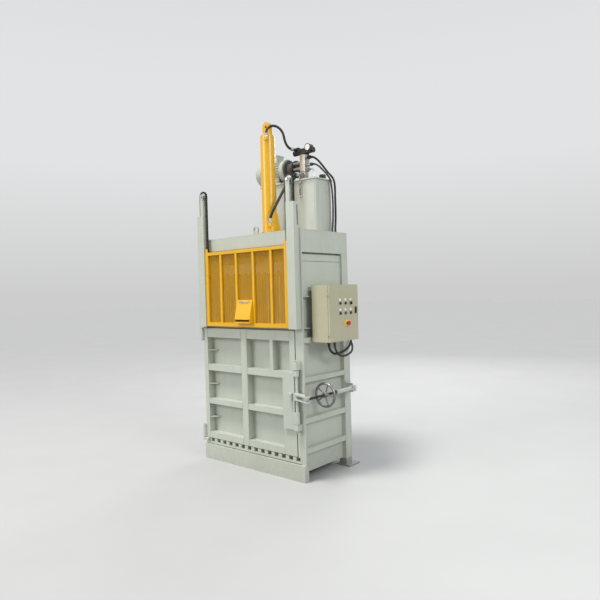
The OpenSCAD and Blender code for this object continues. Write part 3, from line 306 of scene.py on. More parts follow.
def metalMaterial(name, metal):
    material, tree, shader = newMaterial(name)
    wear = wearOf(tree, metal)
    marks = useGroup(tree, "metalGrain", {"Scale": metal["grain"], "Smudge": metal["smudge"]})
    base = mixColour(marks["Smudge"], metal["colour"], metal["soiled"])
    gloss = glossFrom(marks["Grain"], 0.7, metal)
    covered = times(marks["Smudge"], metal["lessMetal"])
    feed(shader, {"Base Color": mixColour(wear["Mask"], base, metal.get("bright", metal["colour"])),
                  "Roughness": plus(gloss, times(marks["Smudge"], metal["dull"]), True),
                  "Metallic": mathNode("SUBTRACT", metal["metallic"], covered, True),
                  "Normal": bumpFrom(marks["Grain"], wear["Normal"], metal)})
    return material


def mouldedMaterial(name, plastic):  # rubber and plastics
    material, tree, shader = newMaterial(name)
    wear = wearOf(tree, plastic)
    dust = spread(noiseAt(tree, plastic["dustScale"], 5.0), 0.42, 0.8, 0.0, plastic["dust"])
    grain = noiseAt(tree, plastic["grain"], 2.0)
    feed(shader, {"Base Color": mixColour(dust, plastic["colour"], plastic["dustColour"]),
                  "Roughness": plus(times(dust, plastic["dull"]), plastic["rough"], True),
                  "Normal": bumpFrom(grain, wear["Normal"], plastic)})
    return material


def makeGlass():
    material, tree, shader = newMaterial("gaugeGlass")
    feed(shader, {"Base Color": colourFrom(236, 240, 238), "Transmission Weight": 0.85, "IOR": 1.45,
                  "Roughness": spread(noiseAt(tree, 40.0, 4.0), 0.3, 0.8, 0.03, 0.2)})
    return material


def makeOil():  # amber oil seen in the level glass
    material, tree, shader = newMaterial("amberOil")
    amber = mixColour(noiseAt(tree, 12.0), (190, 130, 40), (150, 96, 26))
    feed(shader, {"Base Color": amber, "Roughness": 0.15})
    return material


materials = {}
for makeFinish, plain, looks in ((paintMaterial, plainPaint, paints), (metalMaterial, plainMetal, metals),
                                 (mouldedMaterial, plainPlastic, plastics)):
    materials.update({name: makeFinish(name, {**plain, **look}) for name, look in looks.items()})
materials["gaugeGlass"], materials["amberOil"] = makeGlass(), makeOil()
slotFinish = {"grey_paint": "bodyPaint", "base_paint": "basePaint", "yellow_paint": "gatePaint",
              "tank_paint": "tankPaint", "cabinet_paint": "cabinetPaint", "bright_steel": "platedSteel",
              "piston_chrome": "hardChrome", "cast_iron": "castIron", "chain_steel": "oiledSteel",
              "valve_steel": "groundBlock", "black_plastic": "blackPlastic", "hose_rubber": "hoseRubber",
              "red_plastic": "redPlastic", "tag_plastic": "tagPlastic"}
nodeSlot = {part["node"]: part["material_slot"] for part in frame["record"]["subparts"]}
for nodeName, cadPiece in cadNodes.items():
    cadPiece.data.materials.clear()
    cadPiece.data.materials.append(materials[slotFinish[nodeSlot[nodeName]]])
print("materials made:", len(materials))


# Mesh helpers
def addPiece(name, mesh, body, slot, stands=(), finish=None):  # the slot's own finish, unless another is named
    piece = addObject(name, mesh)
    mesh.materials.clear()
    mesh.materials.append(materials[finish or slotFinish[slot]])
    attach(piece, body)
    if stands:
        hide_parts(*stands)
    return piece


def smooth(mesh, angle):
    mesh.shade_smooth()
    mesh.set_sharp_from_angle(angle=math.radians(angle))


def meshOf(work, name):
    mesh = bpy.data.meshes.new(name)
    work.to_mesh(mesh)
    work.free()
    return mesh


def makePiece(name, build, body, slot, stands=(), smoothAngle=None, finish=None):
    work = bmesh.new()
    build(work)
    bmesh.ops.recalc_face_normals(work, faces=work.faces)
    mesh = meshOf(work, name)
    if smoothAngle:
        smooth(mesh, smoothAngle)
    return addPiece(name, mesh, body, slot, stands, finish)


def pointMesh(name, points, edges=()):
    mesh = bpy.data.meshes.new(name)
    mesh.from_pydata(points, edges, [])
    return mesh


def turnTo(axis):
    return Vector(axis).to_track_quat("Z", "Y").to_matrix().to_4x4()


def skinRings(work, rings, hollow=False):  # walls from ring to ring, then the ends, or round to the first ring
    for low, high in zip(rings, rings[1:] + rings[:1] if hollow else rings[1:]):
        for k in range(max(len(low), len(high))):
            corners = [low[k % len(low)], low[(k + 1) % len(low)], high[(k + 1) % len(high)], high[k % len(high)]]
            corners = [c for i, c in enumerate(corners) if c not in corners[:i]]
            if len(corners) > 2:
                work.faces.new(corners)
    for ring in () if hollow else (rings[0][::-1], rings[-1]):
        if len(ring) > 1:
            work.faces.new(ring)


# A profile is (radius, distance along the axis), with the depth of its grip flutes where it has them
def addLathe(work, profile, place, axis, sides=32, hollow=False):
    spin = Matrix.Translation(place) @ turnTo(axis)
    rings = []
    for radius, along, *flute in profile:
        ring = []
        for k in range(1 if radius < 1e-6 else sides):
            reach = radius - (flute[0] if flute and k % 4 == 0 else 0)
            turn = math.tau * k / sides
            ring.append(work.verts.new(spin @ Vector((reach * math.cos(turn), reach * math.sin(turn), along))))
        rings.append(ring)
    skinRings(work, rings, hollow)


def addBlock(work, low, high, bevel=0.0):
    made = bmesh.ops.create_cube(work, size=1.0)["verts"]
    for v in made:
        v.co = Vector([a + (c + 0.5) * (b - a) for a, b, c in zip(low, high, v.co)])
    if bevel:
        edges = list({e for v in made for e in v.link_edges})
        bmesh.ops.bevel(work, geom=edges, offset=bevel, segments=2, affect="EDGES", profile=0.5)


def shapesOf(turned=(), blocks=()):  # a builder for a piece of plain turned shapes and blocks
    def build(work):
        for block in blocks:
            addBlock(work, *block)
        for shape in turned:
            addLathe(work, *shape)
    return build


def addTube(work, route, radii, sides):
    side, rings = None, []
    for i, point in enumerate(route):
        ahead = (route[min(i + 1, len(route) - 1)] - route[max(i - 1, 0)]).normalized()
        side = (ahead.orthogonal() if side is None else side - side.dot(ahead) * ahead).normalized()
        other = ahead.cross(side)
        turns = [math.tau * k / sides for k in range(sides)]
        rings.append([work.verts.new(point + radii[i] * (math.cos(t) * side + math.sin(t) * other)) for t in turns])
    skinRings(work, rings)


def smoothRoute(points, steps):  # the curve the part's own hoses follow
    out = []
    for i in range(len(points) - 1):
        a, b, c, d = (Vector(points[j]) for j in (max(i - 1, 0), i, i + 1, min(i + 2, len(points) - 1)))
        for k in range(steps):
            t = k / steps
            out.append(0.5 * (2 * b + (c - a) * t + (2 * a - 5 * b + 4 * c - d) * t * t
                              + (3 * b - a - 3 * c + d) * t ** 3))
    return out + [Vector(points[-1])]


def evenRoute(points, count):
    spans = [(b - a).length for a, b in zip(points, points[1:])]
    total, out, i, done = sum(spans), [], 0, 0.0
    for k in range(count):
        goal = total * k / (count - 1)
        while i < len(spans) - 1 and done + spans[i] < goal:
            done += spans[i]
            i += 1
        out.append(points[i].lerp(points[i + 1], min(max((goal - done) / spans[i], 0), 1)))
    return out, total


def metres(points):
    return [[c / 1000 for c in p] for p in points]


# Hoses and conduits, along the part's own routes
hoses = {
    "topHose": {"node": "top_hose", "radius": 0.012, "ribs": 0, "route": metres([
        [52, -90, 3092.3], [52, -90, 3106], [52, -90, 3120], [55, -78, 3164], [64, -46, 3196], [78, -2, 3208],
        [93, 42, 3196], [106, 74, 3164], [115, 87, 3125], [120, 94, 3083], [124, 113, 3043], [125, 143, 3020],
        [125, 180, 3012], [125, 190, 3012], [125, 199.7, 3012]])},
    "lowerHose": {"node": "lower_hose", "radius": 0.013, "ribs": 0, "route": metres([
        [209, 177.7, 2752], [209, 171, 2752], [209, 163, 2752], [208, 128, 2745], [206, 98, 2728], [199, 70, 2700],
        [175, 10, 2600], [135, -50, 2470], [96, -86, 2370], [78, -89, 2320], [78, -89, 2302], [78, -89, 2284.3]])},
    "supplyConduit": {"node": "conduits", "radius": 0.011, "ribs": 0.009, "route": metres([
        [247.3, 300, 2930], [255, 300, 2930], [264, 300, 2930], [298, 306, 2923], [330, 327, 2896], [357, 360, 2848],
        [390, 402, 2780], [434, 446, 2690], [440, 450, 2500], [446, 440, 2330], [468, 402, 2190], [520, 358, 2080],
        [588, 348, 1950], [600, 348, 1800], [600, 348, 1400], [610, 348, 1275], [656, 344, 1200], [705, 275, 1144],
        [738, 180, 1104], [747, 85, 1078], [748, -12, 1072], [747, -56, 1084], [745, -88, 1116], [744, -100, 1160],
        [744, -100, 1175], [744, -100, 1189.7]])},
    "signalConduit": {"node": "conduits", "radius": 0.009, "ribs": 0.008, "route": metres([
        [289.3, 275, 2850], [296, 275, 2850], [304, 275, 2850], [334, 282, 2846], [362, 303, 2827], [388, 336, 2788],
        [412, 370, 2742], [432, 396, 2680], [440, 410, 2500], [442, 404, 2330], [458, 370, 2190], [492, 346, 2080],
        [560, 346, 1950], [572, 346, 1800], [572, 346, 1400], [580, 346, 1250], [645, 352, 1160], [705, 300, 1112],
        [770, 190, 1070], [780, 80, 1046], [780, -4, 1062], [778, -46, 1106], [776, -60, 1158], [776, -60, 1174],
        [776, -60, 1189.7]])},
}
hoseMesh = {"sides": 14, "routeSteps": 12, "ringGap": 0.009, "ribFloor": 0.84}
for hoseName, hose in hoses.items():
    fineRoute = smoothRoute(hose["route"], hoseMesh["routeSteps"])
    reach = sum((b - a).length for a, b in zip(fineRoute, fineRoute[1:]))
    if hose["ribs"]:  # corrugated: four rings to each rib
        ringCount = 4 * round(reach / hose["ribs"]) + 2
        ringRadii = [hose["radius"] * (1.0 if k % 4 < 2 else hoseMesh["ribFloor"]) for k in range(ringCount)]
    else:
        ringCount = round(reach / hoseMesh["ringGap"])
        ringRadii = [hose["radius"]] * ringCount
    ringCentres, reach = evenRoute(fineRoute, ringCount)
    tube = makePiece(hoseName, lambda work: addTube(work, ringCentres, ringRadii, hoseMesh["sides"]), "frame",
                     "hose_rubber", [hose["node"]], 60)
print("hoses laid:", len(hoses))

# Crimped ferrules and cable glands: ends as (place, axis, cord radius), profiles as steps from that radius
ferrules = {"ends": [((0.052, -0.09, 3.0925), (0, 0, 1), 0.0155), ((0.125, 0.1995, 3.012), (0, -1, 0), 0.0155),
                     ((0.209, 0.1775, 2.752), (0, -1, 0), 0.0165), ((0.078, -0.089, 2.2845), (0, 0, 1), 0.0165)],
            "mouth": 0.9, "length": 0.036, "crimps": 3, "crimpPitch": 0.008,
            "crimp": [(-0.0012, 0.007), (-0.0012, 0.009), (0.0006, 0.011), (0.0006, 0.013)],
            "nut": [(0.004, -0.002), (0.005, 0.0), (0.005, 0.009), (0.003, 0.011)]}
glands = {"ends": [((0.744, -0.1, 1.1898), (0, 0, -1), 0.0125), ((0.776, -0.06, 1.1898), (0, 0, -1), 0.0105),
                   ((0.2472, 0.3, 2.93), (1, 0, 0), 0.0125), ((0.2892, 0.275, 2.85), (1, 0, 0), 0.0105)],
          "nut": [(0.007, 0.0), (0.008, 0.001), (0.008, 0.008), (0.006, 0.009)],
          "dome": [(0.0045, 0.008), (0.005, 0.012), (0.003, 0.024), (0.0008, 0.027)]}


def stepsFrom(radius, steps):
    return [(radius + step, along) for step, along in steps]


def buildFerrules(work):
    crimps = [(step, along + k * ferrules["crimpPitch"]) for k in range(ferrules["crimps"])
              for step, along in ferrules["crimp"]]
    for place, axis, radius in ferrules["ends"]:
        sleeve = stepsFrom(radius, [(0, 0.001), (0.0006, 0.004)] + crimps + [(-0.001, ferrules["length"])])
        addLathe(work, [(radius * ferrules["mouth"], 0.0)] + sleeve, place, axis, 20)
        addLathe(work, stepsFrom(radius, ferrules["nut"]), place, axis, 6)


def buildGlands(work):
    for place, axis, radius in glands["ends"]:
        addLathe(work, stepsFrom(radius, glands["nut"]), place, axis, 6)
        addLathe(work, stepsFrom(radius, glands["dome"]), place, axis, 24)


makePiece("hoseFerrules", buildFerrules, "frame", "bright_steel", smoothAngle=35)
makePiece("conduitGlands", buildGlands, "frame", "black_plastic", smoothAngle=35)

# CAD nodes with round or chamfered parts, shaded smooth
smoothStands = {
    "cylinder_barrel": "barrelStand", "piston_rod": "rodStand", "motor_body": "motorStand", "fan_cowl": "cowlStand",
    "pump_housing": "pumpStand", "oil_tank": "tankStand", "tank_lid": "lidStand", "solenoid_valve": "solenoidStand",
    "lock_rod": "lockRodStand", "latch_lever": "leverStand", "screw_swivel": "swivelStand",
    "screw_bracket": "bracketStand", "door_frame": "doorStand", "striker_plate": "strikerStand",
    "hinge_pins": "hingePinStand", "left_chain_wheel": "leftWheelStand", "right_chain_wheel": "rightWheelStand",
    "left_gate_post": "leftPostStand", "right_gate_post": "rightPostStand", "wheel_axles": "axleStand",
    "platen": "platenStand", "valve_manifold": "manifoldStand"}


def smoothStand(node, name):  # a merged copy of the node
    cad, work = cadNodes[node], bmesh.new()
    work.from_mesh(cad.data)
    bmesh.ops.remove_doubles(work, verts=work.verts, dist=2e-5)
    bmesh.ops.dissolve_limit(work, angle_limit=math.radians(0.5), verts=work.verts, edges=work.edges)
    mesh = meshOf(work, name)
    if "custom_normal" in mesh.attributes:  # the imported corner normals no longer fit the merged faces
        mesh.attributes.remove(mesh.attributes["custom_normal"])
    smooth(mesh, 32)
    addPiece(name, mesh, cad["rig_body"], nodeSlot[node], [node])


for standNode, standName in smoothStands.items():
    smoothStand(standNode, standName)
print("smooth stands made:", len(smoothStands))


# Repeats by geometry nodes
def newTree(name, inputs):
    return newGroup(name, "GeometryNodeTree", {"Geometry": None, **inputs}, {"Geometry": None})


def circle(tree, sides, radius):
    return nodeIn(tree, "GeometryNodeCurvePrimitiveCircle", {"Resolution": sides, "Radius": radius}).outputs["Curve"]


def disc(sides, radius, depth):
    return addNode("GeometryNodeMeshCylinder", {"Vertices": sides, "Radius": radius, "Depth": depth},
                   fill_type="NGON").outputs["Mesh"]


def sweep(curve, profile):
    return addNode("GeometryNodeCurveToMesh", {"Curve": curve, "Profile Curve": profile}).outputs[0]


def moved(geometry, **how):
    return addNode("GeometryNodeTransform", {"Geometry": geometry, **how}).outputs[0]


def joined(*parts):
    join = nodeIn(parts[0].id_data, "GeometryNodeJoinGeometry")
    for part in parts:
        feed(join, {0: part})
    return join.outputs[0]


def spotsOf(geometry):
    return addNode("GeometryNodeMeshToPoints", {"Mesh": geometry}).outputs[0]


def copiesAt(points, shape, **how):
    return addNode("GeometryNodeInstanceOnPoints", {"Points": points, "Instance": shape, **how}).outputs[0]


def randomFrom(low, high, seed):
    return addNode("FunctionNodeRandomValue", {2: low, 3: high, "Seed": seed}).outputs[1]


def turnAlong(vector):
    return addNode("FunctionNodeAlignRotationToVector", {"Vector": vector}, axis="Z").outputs[0]


def eulerTurn(**angles):
    return addNode("FunctionNodeEulerToRotation", {0: vectorOf(**angles)}).outputs[0]


def closeTree(tree, end, geometry, finish):
    whole = addNode("GeometryNodeRealizeInstances", {0: geometry}).outputs[0]
    dressed = addNode("GeometryNodeSetMaterial", {"Geometry": whole, "Material": materials[finish]})
    feed(end, {0: dressed.outputs[0]})
    return tree


def runTree(name, mesh, tree, values, body, slot, stands=(), smoothAngle=None, finish=None):
    holder = addObject(name + "Seed", mesh)
    modifier = holder.modifiers.new(name, "NODES")
    modifier.node_group = tree
    for item in tree.interface.items_tree:
        if item.item_type == "SOCKET" and item.in_out == "INPUT" and item.name in values:
            modifier[item.identifier] = values[item.name]
    bpy.context.view_layer.update()
    made = bpy.data.meshes.new_from_object(holder.evaluated_get(bpy.context.evaluated_depsgraph_get()))
    bpy.data.objects.remove(holder)
    made.name = name
    if smoothAngle:
        smooth(made, smoothAngle)
    return addPiece(name, made, body, slot, stands, finish)


gateMesh = {"long": 0.0262, "short": 0.0108, "strand": 0.0054, "sheet": 0.0018,
            "left": -0.499, "right": 0.499, "low": 1.35, "high": 1.996, "y": -0.3585}


def buildExpandedMesh(finish):  # diamonds of slit and stretched sheet, one ring to each vertex that comes in
    tree, given, end = newTree("expandedMesh", {"Long Way": 0.03, "Short Way": 0.012, "Strand": 0.003,
                                                "Sheet": 0.002})
    size = vectorOf(X=times(given["Long Way"], 0.5), Y=times(given["Short Way"], 0.5), Z=1.0)
    bar = addNode("GeometryNodeCurvePrimitiveQuadrilateral", {"Width": given["Strand"],
                                                              "Height": given["Sheet"]}).outputs[0]
    strand = sweep(moved(circle(tree, 4, 1.0), Scale=size), bar)
    upright = moved(strand, Rotation=(math.pi / 2, 0, 0))
    return closeTree(tree, end, copiesAt(spotsOf(given["Geometry"]), upright), finish)


def makeGateMesh():
    left, low = gateMesh["left"], gateMesh["low"]
    width, height = gateMesh["right"] - left, gateMesh["high"] - low
    columns, rows = int(width / gateMesh["long"]), int(height / gateMesh["short"])
    centres = [(left + (i + 0.5) * width / columns, gateMesh["y"], low + (j + 0.5) * height / rows)
               for i in range(columns) for j in range(rows)]
    # the mesh takes the gate's yellow painted lighter, as painted light against the shade in its gaps
    runTree("gateExpandedMesh", pointMesh("gateMeshSeed", centres), buildExpandedMesh("meshPaintLightened"),
            {"Long Way": width / columns, "Short Way": height / rows, "Strand": gateMesh["strand"],
             "Sheet": gateMesh["sheet"]}, "gate", "yellow_paint", ["gate_mesh"], finish="meshPaintLightened")
    print("gate mesh:", columns, "by", rows)


makeGateMesh()

# Weld beads, with the places of their seams in millimetres
beads = {"Pitch": 0.006, "Width": 0.0032}
beadShape = {"thin": 0.85, "thick": 1.15, "length": 0.85, "segments": 8, "rings": 5}
doorSeams = {"front": -330.4, "skin": -259, "rails": [(203, 262), (543, 593), (872, 932), (1200, 1290)],
             "panels": ((-598, -119), (-45, 405)), "topRailEnd": 490}
frameSeams = {"ribs": [(239, 285), (498, 545), (846, 890), (1185, 1230)], "wall": 606, "ribReach": 238,
              "corner": (650.4, 240), "beamEnd": 598, "beam": (2036, 2143), "beamFront": -330.4,
              "postEdges": (-632, -542, 542, 632), "post": (1330, 2150), "postFront": -331}


def buildWeldBeads(finish):  # overlapping beads along every edge that comes in
    tree, given, end = newTree("weldBeads", {"Pitch": 0.006, "Width": 0.004, "Seed": 3})
    seams = addNode("GeometryNodeMeshToCurve", {"Mesh": given["Geometry"]}).outputs[0]
    spaced = addNode("GeometryNodeResampleCurve", {"Curve": seams, "Length": given["Pitch"]}, mode="LENGTH")
    points = addNode("GeometryNodeCurveToPoints", {"Curve": spaced.outputs[0]}, mode="EVALUATED").outputs
    bead = nodeIn(tree, "GeometryNodeMeshUVSphere", {"Segments": beadShape["segments"],
                                                     "Rings": beadShape["rings"], "Radius": 1.0}).outputs[0]
    jitter = randomFrom(beadShape["thin"], beadShape["thick"], given["Seed"])
    width = times(given["Width"], jitter)
    size = vectorOf(X=width, Y=width, Z=times(given["Pitch"], beadShape["length"]))
    run = copiesAt(points["Points"], bead, Rotation=turnAlong(points["Tangent"]), Scale=size)
    return closeTree(tree, end, run, finish)


def stitched(a, b, length=55, gap=85, lead=12.0):  # short runs of weld with gaps between
    a, b = Vector(a), Vector(b)
    span, out, at = (b - a).length, [], lead
    while at + length < span:
        out.append((a + (b - a) * at / span, a + (b - a) * (at + length) / span))
        at += length + gap
    return out


def doorSeamLines():
    rails, skin, front = doorSeams["rails"], doorSeams["skin"], doorSeams["front"]
    (left, stileLeft), (stileRight, right) = doorSeams["panels"]
    bays = [(below[1], above[0]) for below, above in zip(rails, rails[1:])]
    seams = []
    for low, high in rails:
        end = doorSeams["topRailEnd"] if (low, high) == rails[-1] else right
        seams += [((x, front, low + 3), (x, front, high - 3)) for x in (left, stileLeft, stileRight, end)]
    for z in [z for bay in bays for z in bay]:
        for x0, x1 in doorSeams["panels"]:
            seams += stitched((x0, skin, z), (x1, skin, z))
    for z0, z1 in bays:
        for x in (stileLeft, stileRight):
            seams += stitched((x, skin, z0), (x, skin, z1))
    return seams


def frameSeamLines():
    wall, reach, front = frameSeams["wall"], frameSeams["ribReach"], frameSeams["postFront"]
    cornerX, cornerY = frameSeams["corner"]
    seams = []
    for low, high in frameSeams["ribs"]:
        for z in (low, high):
            for x in (wall, -wall):
                seams += stitched((x, -reach, z), (x, reach, z))
        seams += [((x, cornerY, low + 2), (x, cornerY, high - 2)) for x in (cornerX, -cornerX)]
    for x in (-frameSeams["beamEnd"], frameSeams["beamEnd"]):
        seams.append(tuple((x, frameSeams["beamFront"], z) for z in frameSeams["beam"]))
    for x in frameSeams["postEdges"]:
        seams += stitched(*((x, front, z) for z in frameSeams["post"]), 45, 120)
    return seams


beadTree = buildWeldBeads("bodyPaint")
for seamName, seams, seamBody in (("door", doorSeamLines(), "door"), ("frame", frameSeamLines(), "frame")):
    seamEnds = [Vector(p) / 1000 for seam in seams for p in seam]
    seamMesh = pointMesh(seamName + "Seams", seamEnds, [(2 * k, 2 * k + 1) for k in range(len(seams))])
    runTree(seamName + "Welds", seamMesh, beadTree, beads, seamBody, "grey_paint", smoothAngle=60)


# Radii as shares of the distance across the flats; the cap is the round chamfer on top of the hexagon
boltShape = {"corner": 0.577, "capLow": 0.5, "capTop": 0.42, "capHigh": 0.0012, "capLift": 0.0019, "washer": 0.95,
             "washerHigh": 0.002, "roundSides": 24, "mostTurn": 1.04}


def buildBolts(finish):  # hex head with a washer at every vertex, turned to the axis
    tree, given, end = newTree("boltHeads", {"Flats": 0.019, "Head": 0.008, "Axis": (0, 0, 1), "Seed": 5})
    head, sides, washerHigh = given["Head"], boltShape["roundSides"], boltShape["washerHigh"]
    corner, capLow, capTop, washerRadius = (times(given["Flats"], boltShape[share])
                                            for share in ("corner", "capLow", "capTop", "washer"))
    hexHead = moved(disc(6, corner, head), Translation=vectorOf(Z=plus(times(head, 0.5), washerHigh)))
    cone = addNode("GeometryNodeMeshCone", {"Vertices": sides, "Radius Top": capTop, "Radius Bottom": capLow,
                                            "Depth": boltShape["capHigh"]}).outputs["Mesh"]
    cap = moved(cone, Translation=vectorOf(Z=plus(head, boltShape["capLift"])))
    washer = moved(disc(sides, washerRadius, washerHigh), Translation=(0, 0, washerHigh / 2))
    spin = eulerTurn(Z=randomFrom(0.0, boltShape["mostTurn"], given["Seed"]))
    turned = addNode("FunctionNodeRotateRotation", {"Rotation": turnAlong(given["Axis"]),
                                                    "Rotate By": spin}, rotation_space="LOCAL").outputs[0]
    whole, spots = joined(hexHead, cap, washer), spotsOf(given["Geometry"])
    return closeTree(tree, end, copiesAt(spots, whole, Rotation=turned), finish)


# Screws of the cabinet's device rows: count, and in millimetres pitch, first centre, height and screw offsets
clamps = [(15, 18.1, -171.7, 1575, [(0, -27), (0, 27)]),
          (6, 45.25, -158.1, 1455, [(t, s) for t in (-13, 0, 13) for s in (-26, 26)]),
          (30, 9.05, -176.2, 1315, [(0, -20), (0, 20)])]
flange = {"radius": 96, "y": -20, "z": 2181}  # the cylinder's foot on the deck
plainBolts = {"body": "frame", "axis": (0, 0, 1), "stands": []}
boltSets = {
    "footBolts": {"flats": 0.024, "head": 0.013, "stands": ["frame_bolts"],
                  "spots": [(flange["radius"] * math.cos(math.radians(a)),
                             flange["y"] + flange["radius"] * math.sin(math.radians(a)), flange["z"])
                            for a in (0, 90, 180, 270)]},
    "lidBolts": {"flats": 0.013, "head": 0.006,
                 "spots": [(x, y, 2702) for x in (-280, -140, 0, 140, 280, 370) for y in (194, 446)]},
    "motorBolts": {"flats": 0.017, "head": 0.008, "spots": [(x, y, 2730) for x in (-256, -106) for y in (219, 421)]},
    "pocketBolts": {"body": "gate", "flats": 0.013, "head": 0.006, "axis": (0, -1, 0),
                    "spots": [(x, -386, 1539) for x in (-40, -14, 20, 46)]},
    "cabinetBolts": {"flats": 0.01, "head": 0.005,
                     "spots": [(x, y, z) for x, z in ((666, 1226), (660, 1661)) for y in (-205, 155)]},
    "clampScrews": {"flats": 0.0036, "head": 0.001, "axis": (1, 0, 0),
                    "spots": [(771, first + pitch * k + t, height + s)
                              for count, pitch, first, height, offsets in clamps
                              for k in range(count) for t, s in offsets]},
}
boltTree = buildBolts("platedSteel")
for boltName, boltSet in boltSets.items():
    bolts = {**plainBolts, **boltSet}
    boltMesh = pointMesh(boltName + "Spots", [Vector(p) / 1000 for p in bolts["spots"]])
    runTree(boltName, boltMesh, boltTree, {"Flats": bolts["flats"], "Head": bolts["head"], "Axis": bolts["axis"]},
            bolts["body"], "bright_steel", bolts["stands"], 30)
print("welds and bolts made")

# Handwheel and screw, on one axis that runs along Y
wheel = {"centre": (0.745, -0.17, 0.733), "rim": 0.1, "grip": 0.0108, "spokes": 5, "spoke": 0.0068,
         "spokeFrom": 0.012, "hub": [(0.0112, -0.024), (0.019, -0.024), (0.0205, -0.022), (0.0215, -0.012),
                                     (0.025, -0.008), (0.025, 0.008), (0.0215, 0.012), (0.0205, 0.022),
                                     (0.019, 0.024), (0.0112, 0.024)],
         "setScrew": [(0.004, 0.018), (0.004, 0.0225), (0.0035, 0.0232)], "setScrewAhead": 0.016}
screw = {"x": 0.745, "z": 0.733, "low": -0.4, "high": 0.17, "pitch": 0.01, "sides": 28,
         "thread": ((0.0092, 0.0), (0.0092, 0.0036), (0.0108, 0.0048), (0.0108, 0.0086)),
         "nose": [(0.006, -0.0195), (0.006, 0.0), (0.009, 0.0005), (0.009, 0.002)], "noseY": -0.4005,
         "tail": [(0.0091, 0.0), (0.0091, 0.009), (0.007, 0.011)], "tailY": 0.158}


def buildWheelTree(finish):
    tree, given, end = newTree("spokedWheel", {"Rim": 0.1, "Grip": 0.01, "Spokes": 5, "Spoke": 0.007})
    rim = sweep(circle(tree, 72, given["Rim"]), circle(tree, 20, given["Grip"]))
    rod = addNode("GeometryNodeCurvePrimitiveLine", {"Start": (0, 0, wheel["spokeFrom"]),
                                                     "End": vectorOf(Z=given["Rim"])}).outputs[0]
    line = addNode("GeometryNodeMeshLine", {"Count": given["Spokes"], "Offset": (0, 0, 0)}).outputs[0]
    index = nodeIn(tree, "GeometryNodeInputIndex").outputs[0]
    step = mathNode("DIVIDE", math.tau, given["Spokes"])
    turn = eulerTurn(X=math.pi / 2, Z=plus(times(index, step), math.pi / 2))
    spokes = copiesAt(line, sweep(rod, circle(tree, 16, given["Spoke"])), Rotation=turn)
    stood = moved(joined(rim, spokes), Rotation=(math.pi / 2, 0, 0), Translation=wheel["centre"])
    return closeTree(tree, end, stood, finish)


def buildHub(work):
    x, y, z = wheel["centre"]
    addLathe(work, wheel["hub"], (x, y, z), (0, 1, 0), 40)
    addLathe(work, wheel["setScrew"], (x, y - wheel["setScrewAhead"], z), (0, 0, 1), 6)


def buildScrew(work):  # single-start thread on the rod's core
    x, z, low, high, sides = screw["x"], screw["z"], screw["low"], screw["high"], screw["sides"]
    steps = int((high - low) / screw["pitch"] * sides)
    rows = []
    for k in range(steps + 1):
        turn, along = math.tau * k / sides, low + (high - low) * k / steps - screw["pitch"] / 2
        rows.append([work.verts.new((x + r * math.cos(turn), min(max(along + s, low), high), z + r * math.sin(turn)))
                     for r, s in screw["thread"]])
    for a, b in zip(rows, rows[1:]):
        for k in range(3):
            work.faces.new((a[k], a[k + 1], b[k + 1], b[k]))
    for k in range(1, steps + 1 - sides):  # the root between one turn's crest and the next turn
        work.faces.new((rows[k - 1][3], rows[k - 1 + sides][0], rows[k + sides][0], rows[k][3]))
    addLathe(work, screw["nose"], (x, screw["noseY"], z), (0, 1, 0), sides)
    addLathe(work, screw["tail"], (x, screw["tailY"], z), (0, 1, 0), sides)
    bmesh.ops.remove_doubles(work, verts=work.verts, dist=1e-6)


runTree("handwheelRim", bpy.data.meshes.new("wheelSeed"), buildWheelTree("darkWheel"),
        {"Rim": wheel["rim"], "Grip": wheel["grip"], "Spokes": wheel["spokes"], "Spoke": wheel["spoke"]},
        "screw", "bright_steel", ["handwheel"], 40, "darkWheel")
makePiece("handwheelHub", buildHub, "screw", "bright_steel", (), 30, "darkWheel")
makePiece("threadedRod", buildScrew, "screw", "chain_steel", ["screw_rod"], 35)
print("handwheel and screw made")

# Control cabinet: operators at (y, z) on the door's face, with their turned profiles
faceX, outwards = 0.87, (1, 0, 0)
operators = {"push_button_1": (-0.092, 1.515), "push_button_2": (-0.017, 1.515), "push_button_3": (-0.092, 1.43),
             "push_button_4": (-0.017, 1.43), "push_button_5": (0.058, 1.43), "selector_knob": (0.058, 1.515)}
buttons = {"count": 5, "green": 4,
           "profile": [(0.0108, -0.022), (0.0108, 0.0045), (0.0118, 0.005), (0.012, 0.0062), (0.0117, 0.0088),
                       (0.0106, 0.0098), (0.0088, 0.0092), (0.0, 0.0088)]}
selector = {"profile": [(0.0108, -0.022), (0.0108, 0.004), (0.0136, 0.0044), (0.014, 0.0056), (0.0136, 0.0084),
                        (0.0126, 0.0092), (0.0, 0.0092)],
            "grip": {"from": 0.0085, "to": 0.02, "halfWidth": 0.0042, "halfLength": 0.0128, "bevel": 0.0016}}
stop = {"place": (faceX, 0.002, 1.343), "plate": 0.03, "plateHigh": 0.0026,
        "profile": [(0.0108, -0.024), (0.0108, 0.01), (0.0138, 0.0105), (0.015, 0.012), (0.015, 0.0185),
                    (0.0188, 0.0195), (0.02, 0.0215), (0.0199, 0.0245), (0.0186, 0.0275), (0.0155, 0.0292),
                    (0.009, 0.0299), (0.0, 0.03)]}
bezel = {"inner": 0.0125, "outer": 0.016, "high": 0.003, "outerEdge": 0.0008, "innerEdge": 0.0006}
tag = {"halfWidth": 0.013, "low": 0.022, "high": 0.04, "out": 0.0012, "sunk": 0.0001, "bevel": 0.0004}
lockGrip = {"y": 0.131, "z": 1.451, "radius": 0.0125, "halfLength": 0.0172, "taper": 0.03,
            "layers": ((0.0006, 0.0), (0.0078, 0.0), (0.0094, 0.0016)),  # distance out, and the edge's inset
            "barrel": [(0.0091, -0.014), (0.0091, 0.0008)],
            "keyhole": [(0.006, 0.0094), (0.006, 0.01), (0.0052, 0.0104), (0.0, 0.0104)],
            "tongue": {"from": -0.014, "to": -0.011, "half": 0.006, "low": -0.03, "high": 0.006, "bevel": 0.0005}}


